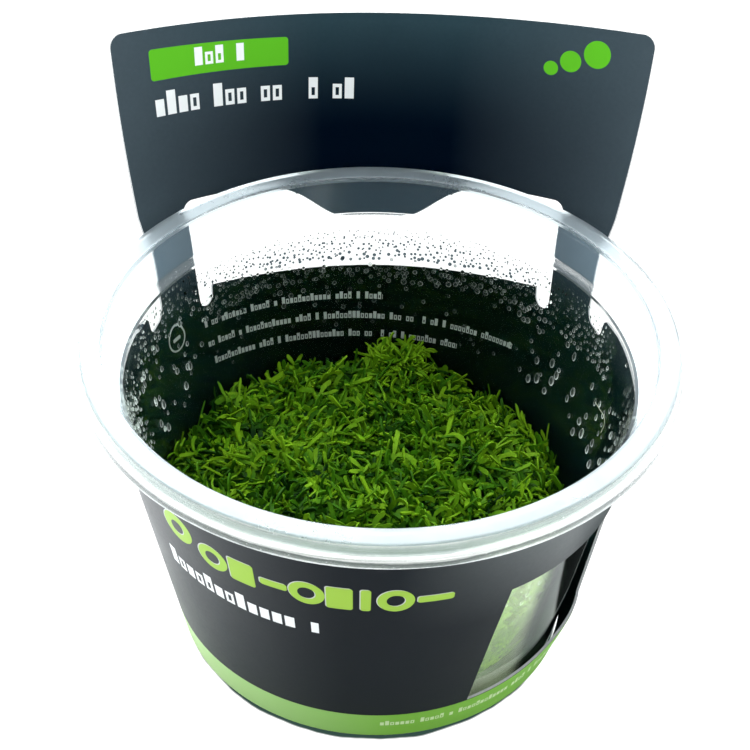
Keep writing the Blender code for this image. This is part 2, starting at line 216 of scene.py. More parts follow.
def turned(name: str, profile: Sequence[Point2], steps: int) -> Piece:
    """Turn a closed section: a disc is extruded ring by ring along the profile and capped.

    Args:
        name: the piece's name.
        profile: (radius, height) points, the first and last being the edges of flat discs.
        steps: how many sides the turned shape has.

    Returns:
        The closed piece, its faces pointing outwards.
    """
    deselect_all()
    radius, height = profile[0]
    place = (0, 0, height)
    bpy.ops.mesh.primitive_circle_add(vertices=steps, radius=radius, fill_type="TRIFAN", location=place)
    piece = bpy.context.object
    piece.name = name
    settle(piece)
    with editing(piece):
        bpy.ops.mesh.select_non_manifold()
        for next_radius, next_height in profile[1:]:
            bpy.ops.mesh.extrude_edges_move(TRANSFORM_OT_translate={"value": (0, 0, next_height - height)})
            share = next_radius / radius
            bpy.ops.transform.resize(value=(share, share, 1), center_override=(0, 0, next_height))
            radius, height = next_radius, next_height
        bpy.ops.mesh.edge_face_add()
        bpy.ops.mesh.poke()
        bpy.ops.mesh.select_all(action="SELECT")
        bpy.ops.mesh.normals_make_consistent(inside=False)
    return piece


def joined_copies(name: str, shapes: Sequence["Shape"], poses: Sequence["Pose"]) -> Piece:
    """Join many placed copies of a few shapes into one mesh.

    Args:
        name: the piece's name.
        shapes: the shapes that are repeated.
        poses: where each copy lies, which shape it is and its tone.

    Returns:
        One object at the origin, with the tone of each copy in the point attribute "tone" and the
        place within the shape in "own".
    """
    points, faces, tones, own = [], [], [], []
    count = 0
    for pose in poses:
        shape = shapes[pose.shape]
        placed = shape.points @ pose.turn.T + pose.place
        if pose.hold is not None:
            placed = pose.hold(placed)
        points.append(placed)
        faces.extend([tuple(corner + count for corner in face) for face in shape.faces])
        tones.append(np.full(len(placed), pose.tone))
        own.append(shape.points)
        count += len(placed)
    mesh = bpy.data.meshes.new(name)
    mesh.from_pydata(np.concatenate(points).tolist(), [], faces)
    mesh.update()
    layer = mesh.attributes.new("tone", "FLOAT", "POINT")
    layer.data.foreach_set("value", np.concatenate(tones).astype(np.float32))
    layer = mesh.attributes.new("own", "FLOAT_VECTOR", "POINT")
    layer.data.foreach_set("vector", np.concatenate(own).astype(np.float32).ravel())
    piece = bpy.data.objects.new(name, mesh)
    bpy.context.scene.collection.objects.link(piece)
    return piece


@dataclass
class Shape:
    """A small mesh that is repeated many times."""

    points: np.ndarray
    faces: list[tuple[int, ...]]

    @classmethod
    def taken_from(cls, piece: Piece) -> "Shape":
        """Read a shape from an object and remove the object."""
        points = np.array([vertex.co[:] for vertex in piece.data.vertices])
        faces = [tuple(face.vertices) for face in piece.data.polygons]
        bpy.data.objects.remove(piece, do_unlink=True)
        return cls(points, faces)


@dataclass
class Pose:
    """The place of one copy of a shape."""

    shape: int
    turn: np.ndarray
    place: np.ndarray
    tone: float
    hold: Optional[object] = None


# Building shader trees


class ShaderTree:
    """Short calls that add and link the nodes of one tree."""

    def __init__(self, tree: bpy.types.NodeTree) -> None:
        """Hold the tree."""
        self.tree = tree

    def add(self, kind: str, **settings: object) -> Node:
        """Add a node and set its properties."""
        node = self.tree.nodes.new(kind)
        for key, value in settings.items():
            setattr(node, key, value)
        return node

    def feed(self, socket: Socket, value: object) -> None:
        """Link an output to a socket, or set the socket's own value."""
        if isinstance(value, bpy.types.NodeSocket):
            self.tree.links.new(value, socket)
        elif isinstance(value, tuple) and len(value) == 3 and socket.type == "RGBA":
            socket.default_value = (*value, 1.0)
        else:
            socket.default_value = value

    def fill(self, node: Node, **values: object) -> Socket:
        """Feed a node's inputs by name, with an underscore for a space, and return its first output."""
        for name, value in values.items():
            self.feed(node.inputs[name.replace("_", " ")], value)
        return node.outputs[0]

    def math(self, operation: str, *values: object, clamp: bool = False) -> Socket:
        """Add a Math node and return its result."""
        node = self.add("ShaderNodeMath", operation=operation, use_clamp=clamp)
        for socket, value in zip(node.inputs, values):
            self.feed(socket, value)
        return node.outputs[0]

    def times(self, *values: object) -> Socket:
        """Multiply values, one after another."""
        return reduce(lambda total, value: self.math("MULTIPLY", total, value), values)

    def most(self, *values: object) -> Socket:
        """Return the greatest of some values."""
        return reduce(lambda total, value: self.math("MAXIMUM", total, value), values)

    def plus(self, *values: object) -> Socket:
        """Add values, one after another."""
        return reduce(lambda total, value: self.math("ADD", total, value), values)

    def minus(self, first: object, second: object) -> Socket:
        """Subtract the second value from the first."""
        return self.math("SUBTRACT", first, second)

    def less(self, first: object, second: object) -> Socket:
        """Return 1 where the first value is below the second."""
        return self.math("LESS_THAN", first, second)

    def more(self, first: object, second: object) -> Socket:
        """Return 1 where the first value is above the second."""
        return self.math("GREATER_THAN", first, second)

    def whole(self, value: object) -> Socket:
        """Return a value without its sign."""
        return self.math("ABSOLUTE", value)

    def length(self, *values: object) -> Socket:
        """Return the root of the summed squares of some values."""
        return self.math("SQRT", self.plus(*(self.math("POWER", value, 2.0) for value in values)))

    def split(self, vector: Socket) -> list[Socket]:
        """Return the three parts of a vector."""
        node = self.add("ShaderNodeSeparateXYZ")
        self.feed(node.inputs[0], vector)
        return list(node.outputs)

    def place(self) -> Socket:
        """Return the coordinates of the piece."""
        return self.add("ShaderNodeTexCoord").outputs["Object"]

    def tone(self) -> Socket:
        """Return the tone of each joined copy."""
        return self.add("ShaderNodeAttribute", attribute_name="tone").outputs["Fac"]

    def own(self) -> list[Socket]:
        """Return the place within each joined copy."""
        return self.split(self.add("ShaderNodeAttribute", attribute_name="own").outputs["Vector"])

    def mix(self, share: object, first: object, second: object) -> Socket:
        """Mix two colours and return the result."""
        node = self.add("ShaderNodeMix", data_type="RGBA")
        self.feed(node.inputs["Factor"], share)
        self.feed(node.inputs[6], first)
        self.feed(node.inputs[7], second)
        return node.outputs[2]

    def span(self, value: object, low: float, high: float, first: float = 0.0, last: float = 1.0) -> Socket:
        """Map a range of a value onto another range, clamped."""
        node = self.add("ShaderNodeMapRange")
        return self.fill(node, Value=value, From_Min=low, From_Max=high, To_Min=first, To_Max=last)

    def ramp(self, value: object, stops: Sequence[tuple[float, Colour]]) -> Socket:
        """Colour a value between 0 and 1 by stops of (place, colour)."""
        node = self.add("ShaderNodeValToRGB")
        bar = node.color_ramp.elements
        for element, (place, colour) in zip(bar, (stops[0], stops[-1])):
            element.position = place
            element.color = (*colour, 1.0)
        for place, colour in stops[1:-1]:
            bar.new(place).color = (*colour, 1.0)
        self.feed(node.inputs[0], value)
        return node.outputs[0]

    def noise(self, vector: Socket, scale: object, detail: float) -> Socket:
        """Return noise on some coordinates."""
        return self.fill(self.add("ShaderNodeTexNoise"), Vector=vector, Scale=scale, Detail=detail)

    def bump(self, height: object, distance: float, strength: float = 1.0) -> Socket:
        """Turn a height into a normal."""
        return self.fill(self.add("ShaderNodeBump"), Height=height, Distance=distance, Strength=strength)

    def effect(self, name: str, **values: object) -> Socket:
        """Place one of the shared groups and return its result."""
        return self.fill(self.add("ShaderNodeGroup", node_tree=Effects.get(name)), **values)

    def mottle(self, place: Socket, coarse: float, fine: float = 900.0, share: float = 0.5) -> Socket:
        """Place the shared uneven tone on some coordinates."""
        return self.effect("mottle", Vector=place, Coarse=coarse, Fine=fine, Share=share)


class GroupTree(ShaderTree):
    """The tree of a node group with named inputs and one output."""

    def __init__(self, name: str, output: str, **inputs: Optional[float]) -> None:
        """Start the group.

        Args:
            name: the group's name.
            output: the name of its output, a number.
            inputs: the default of each input that is a number, or None for a vector.
        """
        super().__init__(bpy.data.node_groups.new(name, "ShaderNodeTree"))
        sockets = self.tree.interface
        for label, value in inputs.items():
            kind = "NodeSocketVector" if value is None else "NodeSocketFloat"
            socket = sockets.new_socket(label.replace("_", " "), in_out="INPUT", socket_type=kind)
            if value is not None:
                socket.default_value = value
        sockets.new_socket(output, in_out="OUTPUT", socket_type="NodeSocketFloat")
        self.given = self.add("NodeGroupInput").outputs
        self.result = self.add("NodeGroupOutput").inputs[0]

    def closed(self, result: Socket) -> bpy.types.NodeTree:
        """Give the group its result and return the group."""
        self.feed(self.result, result)
        return self.tree


class Effects:
    """Shader node groups that several finishes share, each built once."""

    _made: dict[str, bpy.types.NodeTree] = {}

    @classmethod
    def get(cls, name: str) -> bpy.types.NodeTree:
        """Return a group by its name, building it on first use."""
        if name not in cls._made:
            cls._made[name] = getattr(cls, "_" + name)()
        return cls._made[name]

    @staticmethod
    def _mottle() -> bpy.types.NodeTree:
        """Soft uneven tone from two sizes of noise, around 0.5."""
        shader = GroupTree("Mottle", "Tone", Vector=None, Coarse=100.0, Fine=900.0, Share=0.5)
        given = shader.given
        blend = shader.add("ShaderNodeMix", data_type="FLOAT")
        shader.feed(blend.inputs["Factor"], given["Share"])
        for socket, scale in zip(blend.inputs[2:4], ("Coarse", "Fine")):
            shader.feed(socket, shader.noise(given["Vector"], given[scale], 3.0))
        return shader.closed(blend.outputs[0])

    @staticmethod
    def _streaks() -> bpy.types.NodeTree:
        """Uneven tone drawn out level, so that it runs along a turned rim, around 0.5."""
        shader = GroupTree("Level Streaks", "Tone", Vector=None, Along=35.0, Upward=1500.0)
        given = shader.given
        drawn = shader.add("ShaderNodeCombineXYZ")
        parts = shader.split(given["Vector"])
        for socket, part, scale in zip(drawn.inputs, parts, ("Along", "Along", "Upward")):
            shader.feed(socket, shader.times(part, given[scale]))
        return shader.closed(shader.noise(drawn.outputs[0], 1.0, 2.0))

    @staticmethod
    def _bar() -> bpy.types.NodeTree:
        """Mask of a printed bar with round corners, in millimetres on the card."""
        names = ("Across", "Height", "Middle", "Level", "Half_Width", "Half_Height")
        shader = GroupTree("Printed Bar", "Mask", **dict.fromkeys(names, 0.0), Corner=0.5, Slope=0.0)
        given = shader.given
        across = shader.minus(given["Across"], given["Middle"])
        level = shader.math("MULTIPLY_ADD", across, given["Slope"], given["Level"])
        gaps = []
        for place, half in ((across, "Half Width"), (shader.minus(given["Height"], level), "Half Height")):
            gaps.append(shader.minus(shader.whole(place), shader.minus(given[half], given["Corner"])))
        outside = shader.length(*(shader.most(gap, 0.0) for gap in gaps))
        inside = shader.math("MINIMUM", shader.most(*gaps), 0.0)
        distance = shader.minus(shader.plus(outside, inside), given["Corner"])
        return shader.closed(shader.span(distance, -0.06, 0.06, 1.0, 0.0))

    @staticmethod
    def _ring() -> bpy.types.NodeTree:
        """Mask of a printed ring, in millimetres on the card."""
        names = ("Across", "Height", "Middle", "Level")
        shader = GroupTree("Printed Ring", "Mask", **dict.fromkeys(names, 0.0), Radius=2.0, Line=0.2)
        given = shader.given
        across = shader.minus(given["Across"], given["Middle"])
        far = shader.length(across, shader.minus(given["Height"], given["Level"]))
        return shader.closed(shader.less(shader.whole(shader.minus(far, given["Radius"])), given["Line"]))

    @staticmethod
    def _blocks() -> bpy.types.NodeTree:
        """Mask of a row of small blocks grouped like words, on a baseline that may sag."""
        names = ("Across", "Height", "Start", "End", "Level", "Sag", "Sag_Middle")
        sizes = {"Block_Height": 1.2, "Pitch": 0.9, "Seed": 0.0}
        shader = GroupTree("Small Print", "Mask", **dict.fromkeys(names, 0.0), **sizes)
        given = shader.given
        from_middle = shader.minus(given["Across"], given["Sag Middle"])
        sagged = shader.times(shader.math("POWER", from_middle, 2.0), given["Sag"])
        level = shader.minus(given["Height"], shader.plus(given["Level"], sagged))
        rise = shader.math("DIVIDE", level, given["Block Height"])
        along = shader.math("DIVIDE", shader.minus(given["Across"], given["Start"]), given["Pitch"])
        cell = shader.math("FLOOR", along)
        side = shader.whole(shader.minus(shader.math("FRACT", along), 0.5))
        draws = []
        for step in (0.0, 37.0, 91.0):
            draw = shader.add("ShaderNodeTexWhiteNoise", noise_dimensions="1D")
            shader.fill(draw, W=shader.plus(cell, given["Seed"], step))
            draws.append(draw.outputs["Value"])
        gap, tall, hollow = draws
        top = shader.math("MULTIPLY_ADD", shader.more(tall, 0.62), 0.45, 1.0)
        hole = shader.times(shader.less(side, 0.14), shader.more(hollow, 0.4))
        hole = shader.times(hole, shader.less(shader.whole(shader.minus(rise, 0.5)), 0.27))
        tests = [
            shader.more(gap, 0.16),
            shader.less(side, 0.38),
            shader.more(rise, 0.0),
            shader.less(rise, top),
            shader.more(given["Across"], given["Start"]),
            shader.less(given["Across"], given["End"]),
            shader.minus(1.0, hole),
        ]
        return shader.closed(shader.times(*tests))


class Finish(ShaderTree):
    """The tree of a new material."""

    def __init__(self, name: str) -> None:
        """Start the material."""
        self.made = bpy.data.materials.new(name)
        self.made.use_nodes = True
        super().__init__(self.made.node_tree)
        self.surface = self.tree.nodes["Principled BSDF"]

    def paint(self, **values: object) -> bpy.types.Material:
        """Feed the surface's inputs by name and return the material."""
        self.fill(self.surface, **values)
        return self.made

    def glow(self, share: Socket, colour: Colour, strength: float = 1.0) -> None:
        """Let the surface glow in a colour by some share."""
        self.paint(Emission_Color=self.mix(share, BLACK, colour), Emission_Strength=strength)


# Finishes


@dataclass(frozen=True)
class ClearPlastic:
    """Clear moulded plastic, from glossy to frosted and milky, with a painted glow at its sides and painted
    shade and glow behind the card's window.
    """

    name: str
    roughness: float = 0.045
    clearness: float = 1.0
    tint: Colour = (0.975, 0.99, 0.985)
    shade: Colour = (0.95, 0.975, 0.965)
    ripple: float = 0.012 * MM
    index: float = 1.49
    haze_glow: float = 0.0
    haze_glow_sides: Point2 = (22.0 * MM, 42.0 * MM)
    haze_glow_colour: Colour = (0.62, 0.74, 0.80)
    window: Optional[Point2] = None
    # Behind the card's window the wall takes painted shade on its dark side and a painted glow on its misted
    # side.
    window_painted_shade: Colour = (0.13, 0.21, 0.17)
    window_painted_glow: Colour = (0.46, 0.58, 0.34)
    window_middle: float = 0.66
    shade_heights: Point2 = (46.0 * MM, 42.0 * MM)
    glow_heights: Point2 = (12.0 * MM, 36.0 * MM)

    def material(self) -> bpy.types.Material:
        """Build the finish."""
        shader = Finish(self.name)
        place = shader.place()
        tone = shader.mottle(place, 90.0, 700.0, 0.3)
        colour = shader.mix(tone, self.tint, self.shade)
        if self.window:
            # Painted shade and painted glow on the wall behind the card's window.
            dark, mist = self.window_light_masks(shader, place)
            colour = shader.mix(dark, colour, self.window_painted_shade)
            shader.glow(mist, self.window_painted_glow)
        # Painted light: the plastic glows at its sides, standing in for its milkiness catching the light.
        if self.haze_glow:
            aside = shader.whole(shader.split(place)[0])
            shader.glow(shader.span(aside, *self.haze_glow_sides, 0.15, 1.0), self.haze_glow_colour, self.haze_glow)
        return shader.paint(
            Base_Color=colour,
            Roughness=shader.span(tone, 0.35, 0.65, 0.7 * self.roughness, 1.3 * self.roughness),
            Normal=shader.bump(tone, self.ripple),
            Metallic=0.0,
            Transmission_Weight=self.clearness,
            IOR=self.index,
        )

    def window_light_masks(self, shader: ShaderTree, place: Socket) -> tuple[Socket, Socket]:
        """Return masks of the wall's painted shade and its painted glow behind the card's window."""
        x, y, height = shader.split(place)
        around = shader.math("ARCTAN2", x, y)
        cloud = shader.mottle(place, 140.0, 420.0, 0.4)
        start, end = self.window
        middle = start + self.window_middle * (end - start)
        # Painted shade over the window's part before its middle, painted glow over the part after it.
        dark = shader.times(
            shader.span(around, middle, middle - 0.10),
            shader.span(around, start - 0.05, start),
            shader.span(height, *self.shade_heights),
        )
        mist = shader.times(
            shader.span(around, middle - 0.03, middle + 0.05),
            shader.span(around, end + 0.01, end + 0.06, 1.0, 0.0),
            shader.span(height, *self.glow_heights, 0.1, 0.5),
            shader.span(cloud, 0.35, 0.65, 0.55, 1.0),
        )
        return dark, mist


@dataclass(frozen=True)
class RimPaintedLight:
    """The rim's hanging skirt, with painted light: light and dark stripes up its height as painted
    reflections, painted streaks along it, painted glints and a glow.
    """

    foot: float
    top: float
    roughness: float = 0.22
    clearness: float = 0.75
    glow: float = 0.5
    streak_painted_shade: Colour = (0.42, 0.47, 0.45)
    light_bands: tuple = (
        (0.00, (0.92, 0.95, 0.94), 0.35),
        (0.10, (0.90, 0.93, 0.92), 0.35),
        (0.15, (0.24, 0.27, 0.26), 0.0),
        (0.30, (0.30, 0.34, 0.32), 0.0),
        (0.35, WHITE, 0.9),
        (0.52, WHITE, 0.9),
        (0.58, (0.78, 0.90, 0.85), 0.0),
        (0.90, (0.84, 0.93, 0.89), 0.0),
        (1.00, WHITE, 0.5),
    )

    def material(self) -> bpy.types.Material:
        """Build the finish."""
        shader = Finish("rim_painted_light")
        place = shader.place()
        wander = shader.mottle(place, 28.0, 900.0, 0.12)
        streak = shader.effect("streaks", Vector=place, Along=30.0, Upward=2600.0)
        glint_spots = shader.mottle(place, 1400.0, 2600.0)
        share = shader.span(shader.split(place)[2], self.foot, self.top)
        share = shader.plus(share, shader.span(wander, 0.3, 0.7, -0.1, 0.1))
        # Painted reflections: light and dark stripes up the skirt, with a glow in the light ones.
        colour = shader.ramp(share, [(band, shade) for band, shade, _ in self.light_bands])
        light = shader.ramp(share, [(band, (glow, glow, glow)) for band, _, glow in self.light_bands])
        # Painted streaks along the rim dim the glow and shade the colour; small painted glints shine white in
        # the glow.
        lit = shader.mix(shader.span(streak, 0.40, 0.55, 0.45, 1.0), BLACK, light)
        return shader.paint(
            Base_Color=shader.mix(shader.span(streak, 0.42, 0.58, 0.55, 0.0), colour, self.streak_painted_shade),
            Emission_Color=shader.mix(shader.span(glint_spots, 0.62, 0.68, 0.0, 0.8), lit, WHITE),
            Emission_Strength=self.glow,
            Roughness=self.roughness,
            Normal=shader.bump(streak, 0.02 * MM),
            Metallic=0.0,
            Transmission_Weight=self.clearness,
            IOR=1.49,
        )


@dataclass
class Page:
    """A place on the flat card, in millimetres, and the masks of what is printed there."""

    shader: ShaderTree
    across: Socket
    height: Socket

    SIZES = {
        "bar": ("Middle", "Level", "Half_Width", "Half_Height", "Corner", "Slope"),
        "ring": ("Middle", "Level", "Radius", "Line"),
        "blocks": ("Start", "End", "Level", "Block_Height", "Pitch", "Seed", "Sag", "Sag_Middle"),
    }

    def marks(self, kind: str, *rows: tuple) -> Socket:
        """Join the masks of several marks of one kind, each with its sizes in the order of SIZES."""
        masks = []
        for row in rows:
            named = dict(zip(self.SIZES[kind], row))
            masks.append(self.shader.effect(kind, Across=self.across, Height=self.height, **named))
        return self.shader.most(*masks)

    def moved(self, across: float, height: float) -> "Page":
        """Return the page shifted a little."""
        return Page(self.shader, self.shader.plus(self.across, across), self.shader.plus(self.height, height))

    def slanted(self, middle: float, slope: float) -> "Page":
        """Return the page with its level lines running downhill, turned about one place."""
        away = self.shader.plus(self.across, middle)
        return Page(self.shader, self.across, self.shader.math("MULTIPLY_ADD", away, slope, self.height))


@dataclass(frozen=True)
class PrintedCard:
    """Coated card printed nearly black, with plain green and white bars where words would be."""

    side: CardSide
    seam: float
    ink: Colour = (0.0006, 0.0030, 0.0062)
    worn: Colour = (0.002, 0.010, 0.016)
    left_sheen: Colour = (0.075, 0.083, 0.087)
    right_sheen: Colour = (0.15, 0.170, 0.168)
    navy: Colour = (0.0002, 0.0034, 0.0115)
    # Painted sheen on the board: paler ink towards its top and its sides.
    navy_top_sheen: Colour = (0.026, 0.054, 0.068)
    navy_side_sheen: Colour = (0.060, 0.083, 0.098)
    # Inside the cup the navy ink is tinted green as painted bounce light from the plant, paler at the sides.
    teal_bounce: Colour = (0.0009, 0.0060, 0.0040)
    teal_bounce_sides: Colour = (0.005, 0.024, 0.023)
    # Painted light on the tongue, standing in for the neck's milky plastic in front of it.
    tongue: Colour = (0.013, 0.033, 0.048)
    plate_green: Colour = (0.11, 0.48, 0.02)
    band_green: Colour = (0.19, 0.46, 0.043)
    # Painted sheen on the foot band round the left.
    band_sheen: Colour = (0.62, 0.86, 0.42)
    row_green: Colour = (0.33, 0.54, 0.06)
    small_green: Colour = (0.75, 0.88, 0.55)
    white: Colour = (0.9, 0.92, 0.92)
    grey: Colour = (0.46, 0.52, 0.49)
    roughness: float = 0.34
    specular: tuple = ((CardSide.OUTER, 0.13), (CardSide.INNER, 0.015))
    band_height: float = 8.7
    row_level: float = 44.0
    fade: Point2 = (108.0, 72.0)

    def material(self) -> bpy.types.Material:
        """Build the finish of one side."""
        shader = Finish("printed_card_" + self.side.value)
        across, height, _ = shader.split(shader.add("ShaderNodeUVMap", uv_map="card").outputs[0])
        tone = shader.mottle(shader.place(), 60.0, 1500.0, 0.4)
        if self.side is CardSide.OUTER:
            across = shader.minus(shader.times(shader.math("SIGN", across), self.seam), across)
            page = Page(shader, across, height)
            ground, layers = self.outer_ground(page), self.outer_print(page)
        else:
            page = Page(shader, across, height)
            ground, layers = self.inner_ground(page), self.inner_print(page)
        colour = shader.mix(shader.span(tone, 0.35, 0.65, 0.0, 0.15), ground, self.worn)
        raised = shader.times(tone, 0.12)
        for mask, shade in layers:
            colour = shader.mix(mask, colour, shade)
            raised = shader.most(raised, mask)
        return shader.paint(
            Base_Color=colour,
            Roughness=shader.span(tone, 0.3, 0.7, self.roughness, self.roughness + 0.08),
            Specular_IOR_Level=dict(self.specular)[self.side],
            Normal=shader.bump(raised, 0.05 * MM, 0.6),
        )

    def faded(self, page: Page, side: int) -> Socket:
        """Return a mask that fades towards the back of the cup, on the left (-1) or the right (1)."""
        far, near = self.fade
        return page.shader.span(page.across, side * far, side * near)

    def outer_ground(self, page: Page) -> Socket:
        """Return the outer ink, with a pale sheen round the left and under the rim at the right."""
        shader = page.shader
        left = shader.math("POWER", shader.span(page.across, -6.0, -60.0), 1.2)
        left = shader.times(left, self.faded(page, -1))
        right = shader.times(shader.span(page.across, 2.0, 44.0), shader.span(page.height, 34.0, 52.0))
        right = shader.times(right, self.faded(page, 1))
        return shader.mix(right, shader.mix(left, self.ink, self.left_sheen), self.right_sheen)

    def inner_ground(self, page: Page) -> Socket:
        """Return the inner ink: navy on the board with a painted sheen at its top and sides and a painted
        paler tongue, and inside the cup navy tinted green as painted bounce light, paler at the sides.
        """
        shader, height = page.shader, page.height
        aside = shader.whole(shader.minus(page.across, 2.0))
        # Painted sheen: the board's ink is paler towards its top and its sides.
        up = shader.math("POWER", shader.span(height, 70.0, 92.0), 1.5)
        board = shader.mix(up, self.navy, self.navy_top_sheen)
        board = shader.mix(shader.span(aside, 12.0, 50.0), board, self.navy_side_sheen)
        # Painted light: the tongue is paler where the neck's milky plastic lies in front of it.
        low = shader.times(shader.span(height, 61.5, 60.5), shader.span(aside, 26.0, 24.0))
        board = shader.mix(low, board, self.tongue)
        # Painted bounce light: inside the cup the navy is tinted green, more at the sides.
        inside = shader.mix(shader.span(aside, 20.0, 60.0), self.teal_bounce, self.teal_bounce_sides)
        return shader.mix(shader.span(height, 45.0, 54.0), inside, board)

    def green_row(self, page: Page) -> Socket:
        """Return the mask of the row of rings and bars across the front."""
        level = self.row_level
        rings = [(middle, level, 2.2, 0.72) for middle in (-28.8, -12.1, 1.9)]
        rings.append((-36.2, level + 2.0, 2.4, 0.9))
        sizes = ((-23.2, 2.3, 2.9), (-17.6, 2.3, 0.85), (-6.9, 2.1, 2.9), (-2.8, 0.8, 2.9), (8.2, 2.9, 0.85))
        bars = [(middle, level, half_width, half_height) for middle, half_width, half_height in sizes]
        return page.shader.most(page.marks("ring", *rings), page.marks("bar", *bars))

    def outer_print(self, page: Page) -> list[tuple[Socket, Colour]]:
        """Print the front: a green foot band with a painted sheen round the left, a row of green shapes with
        a painted highlight along one edge, two rows of blocks.
        """
        shader = page.shader
        band = shader.less(page.height, self.band_height)
        # Painted sheen: the foot band is paler round the left, like the ink above it.
        left = shader.times(band, shader.span(page.across, 4.0, -46.0, 0.0, 0.85), self.faded(page, -1))
        small = page.marks("blocks", (-0.5, 48.0, 5.3, 1.0, 1.05, 4.0))
        return [
            (band, self.band_green),
            (left, self.band_sheen),
            # Painted highlight: a white copy of the green row, shifted a little, lights one edge of each
            # green shape.
            (shader.times(self.green_row(page.moved(0.16, -0.14)), 0.6), self.white),
            (self.green_row(page), self.row_green),
            (page.marks("blocks", (-42.0, -10.5, 33.0, 2.9, 2.3, 21.0)), self.white),
            (shader.times(small, 0.7), self.small_green),
        ]

    def inner_print(self, page: Page) -> list[tuple[Socket, Colour]]:
        """Print the board and the inside: a green plate, rows of blocks, three discs and a ring."""
        plate = (-28.7, 86.9, 12.6, 2.75, 0.6, -0.03)
        discs = ((31.2, 85.4, 1.3), (34.6, 87.1, 1.9), (39.2, 89.0, 2.4))
        green = page.marks("bar", plate, *((*disc, disc[2], disc[2]) for disc in discs))
        on_plate = page.slanted(28.7, 0.03).marks("blocks", (-33.3, -24.1, 85.7, 2.3, 1.9, 35.0))
        name = page.slanted(22.8, 0.055).marks("blocks", (-41.3, -4.0, 77.2, 3.0, 2.2, 52.0))
        lines = [
            (-36.0, end, level, 1.0, 0.84, 10.0 * row, 1.4e-3, 12.3)
            for row, (level, end) in enumerate(((37.4, 2.0), (33.3, 30.0), (29.5, 18.0)))
        ]
        grey = page.shader.most(
            page.marks("ring", (-43.6, 42.6, 2.3, 0.17)),
            page.marks("bar", (-43.6, 42.6, 1.1, 0.35, 0.3)),
            page.marks("blocks", *lines),
        )
        return [(green, self.plate_green), (page.shader.most(on_plate, name), self.white), (grey, self.grey)]


@dataclass(frozen=True)
class CutEdge:
    """Raw cut edge of the card, pale grey board with fibres."""

    pale: Colour = (0.60, 0.61, 0.60)
    dull: Colour = (0.36, 0.37, 0.38)

    def material(self) -> bpy.types.Material:
        """Build the finish."""
        shader = Finish("card_cut_edge")
        tone = shader.mottle(shader.place(), 800.0, 4000.0)
        colour = shader.mix(tone, self.dull, self.pale)
        return shader.paint(Base_Color=colour, Normal=shader.bump(tone, 0.03 * MM), Roughness=0.8)


@dataclass(frozen=True)
class WetJelly:
    """Clear set jelly, slightly cloudy."""

    tint: Colour = (0.86, 0.90, 0.78)
    cloudy: Colour = (0.70, 0.78, 0.58)

    def material(self) -> bpy.types.Material:
        """Build the finish."""
        shader = Finish("clear_jelly")
        tone = shader.mottle(shader.place(), 120.0, 600.0, 0.4)
        return shader.paint(
            Base_Color=shader.mix(tone, self.tint, self.cloudy),
            Roughness=shader.span(tone, 0.3, 0.7, 0.05, 0.22),
            Normal=shader.bump(tone, 0.15 * MM),
            Metallic=0.0,
            Transmission_Weight=0.85,
            IOR=1.34,
        )


@dataclass(frozen=True)
class PlantSkin:
    """Moist green ribbons whose tone differs from one to the next, darker the deeper they lie as painted
    shade.
    """

    dark: Colour = (0.0003, 0.022, 0.0002)
    middle: Colour = (0.034, 0.135, 0.0004)
    bright: Colour = (0.15, 0.32, 0.006)
    roughness: float = 0.6

    def material(self) -> bpy.types.Material:
        """Build the finish."""
        shader = Finish("green_plant")
        cloud = shader.mottle(shader.place(), 160.0, 1400.0, 0.35)
        tip = shader.span(shader.own()[0], 0.0, 4.5 * MM, -0.22, 0.2)
        uneven = shader.plus(tip, shader.span(cloud, 0.3, 0.7, -0.15, 0.15))
        share = shader.math("ADD", shader.tone(), uneven, clamp=True)
        return shader.paint(
            Base_Color=shader.ramp(share, [(0.0, self.dark), (0.5, self.middle), (1.0, self.bright)]),
            Roughness=shader.span(cloud, 0.3, 0.7, self.roughness - 0.06, self.roughness + 0.1),
            Normal=shader.bump(cloud, 0.06 * MM),
            Specular_IOR_Level=0.12,
            Subsurface_Weight=0.1,
            Subsurface_Scale=0.4 * MM,
            Subsurface_Radius=(0.5, 1.0, 0.15),
        )


@dataclass(frozen=True)
class WaterDrop:
    """Condensed water, painted dark where it stands for the dark board seen through it, and otherwise given a
    painted glint along its lower rim.
    """

    clear: Colour = (0.97, 1.0, 0.98)
    shaded: Colour = (0.10, 0.13, 0.15)
    glint: Colour = (0.62, 0.72, 0.68)
    glow: float = 0.9

    def material(self) -> bpy.types.Material:
        """Build the finish."""
        shader = Finish("condensed_water")
        cloud = shader.mottle(shader.place(), 300.0, 2000.0, 0.3)
        tone = shader.tone()
        across, up, _ = shader.own()
        # Painted shade: drops with a high tone are tinted dark.
        dark = shader.span(tone, 0.5, 1.0)
        square = shader.math("MULTIPLY_ADD", across, across, shader.times(up, up))
        # Painted glint: a bright rim, strongest at the bottom, fading as the tone rises.
        light = shader.times(
            shader.span(square, 0.45, 0.85, 0.05, 1.0),
            shader.span(up, 0.7, -0.5, 0.25, 1.0),
            shader.span(tone, 0.0, 0.5, 1.0, 0.15),
            shader.minus(1.0, dark),
            shader.span(cloud, 0.35, 0.65, 0.3, 1.0),
        )
        shader.glow(light, self.glint, self.glow)
        return shader.paint(
            Base_Color=shader.mix(dark, self.clear, self.shaded),
            Roughness=0.03,
            Metallic=0.0,
            Transmission_Weight=1.0,
            IOR=1.12,
        )


@dataclass(frozen=True)
class DeadStrand:
    """Bleached dead thread."""

    pale: Colour = (0.62, 0.66, 0.52)
    dull: Colour = (0.30, 0.36, 0.22)

    def material(self) -> bpy.types.Material:
        """Build the finish."""
        shader = Finish("bleached_strand")
        tone = shader.mottle(shader.place(), 700.0, 3000.0, 0.4)
        return shader.paint(Base_Color=shader.mix(tone, self.dull, self.pale), Roughness=0.5)


# Pieces


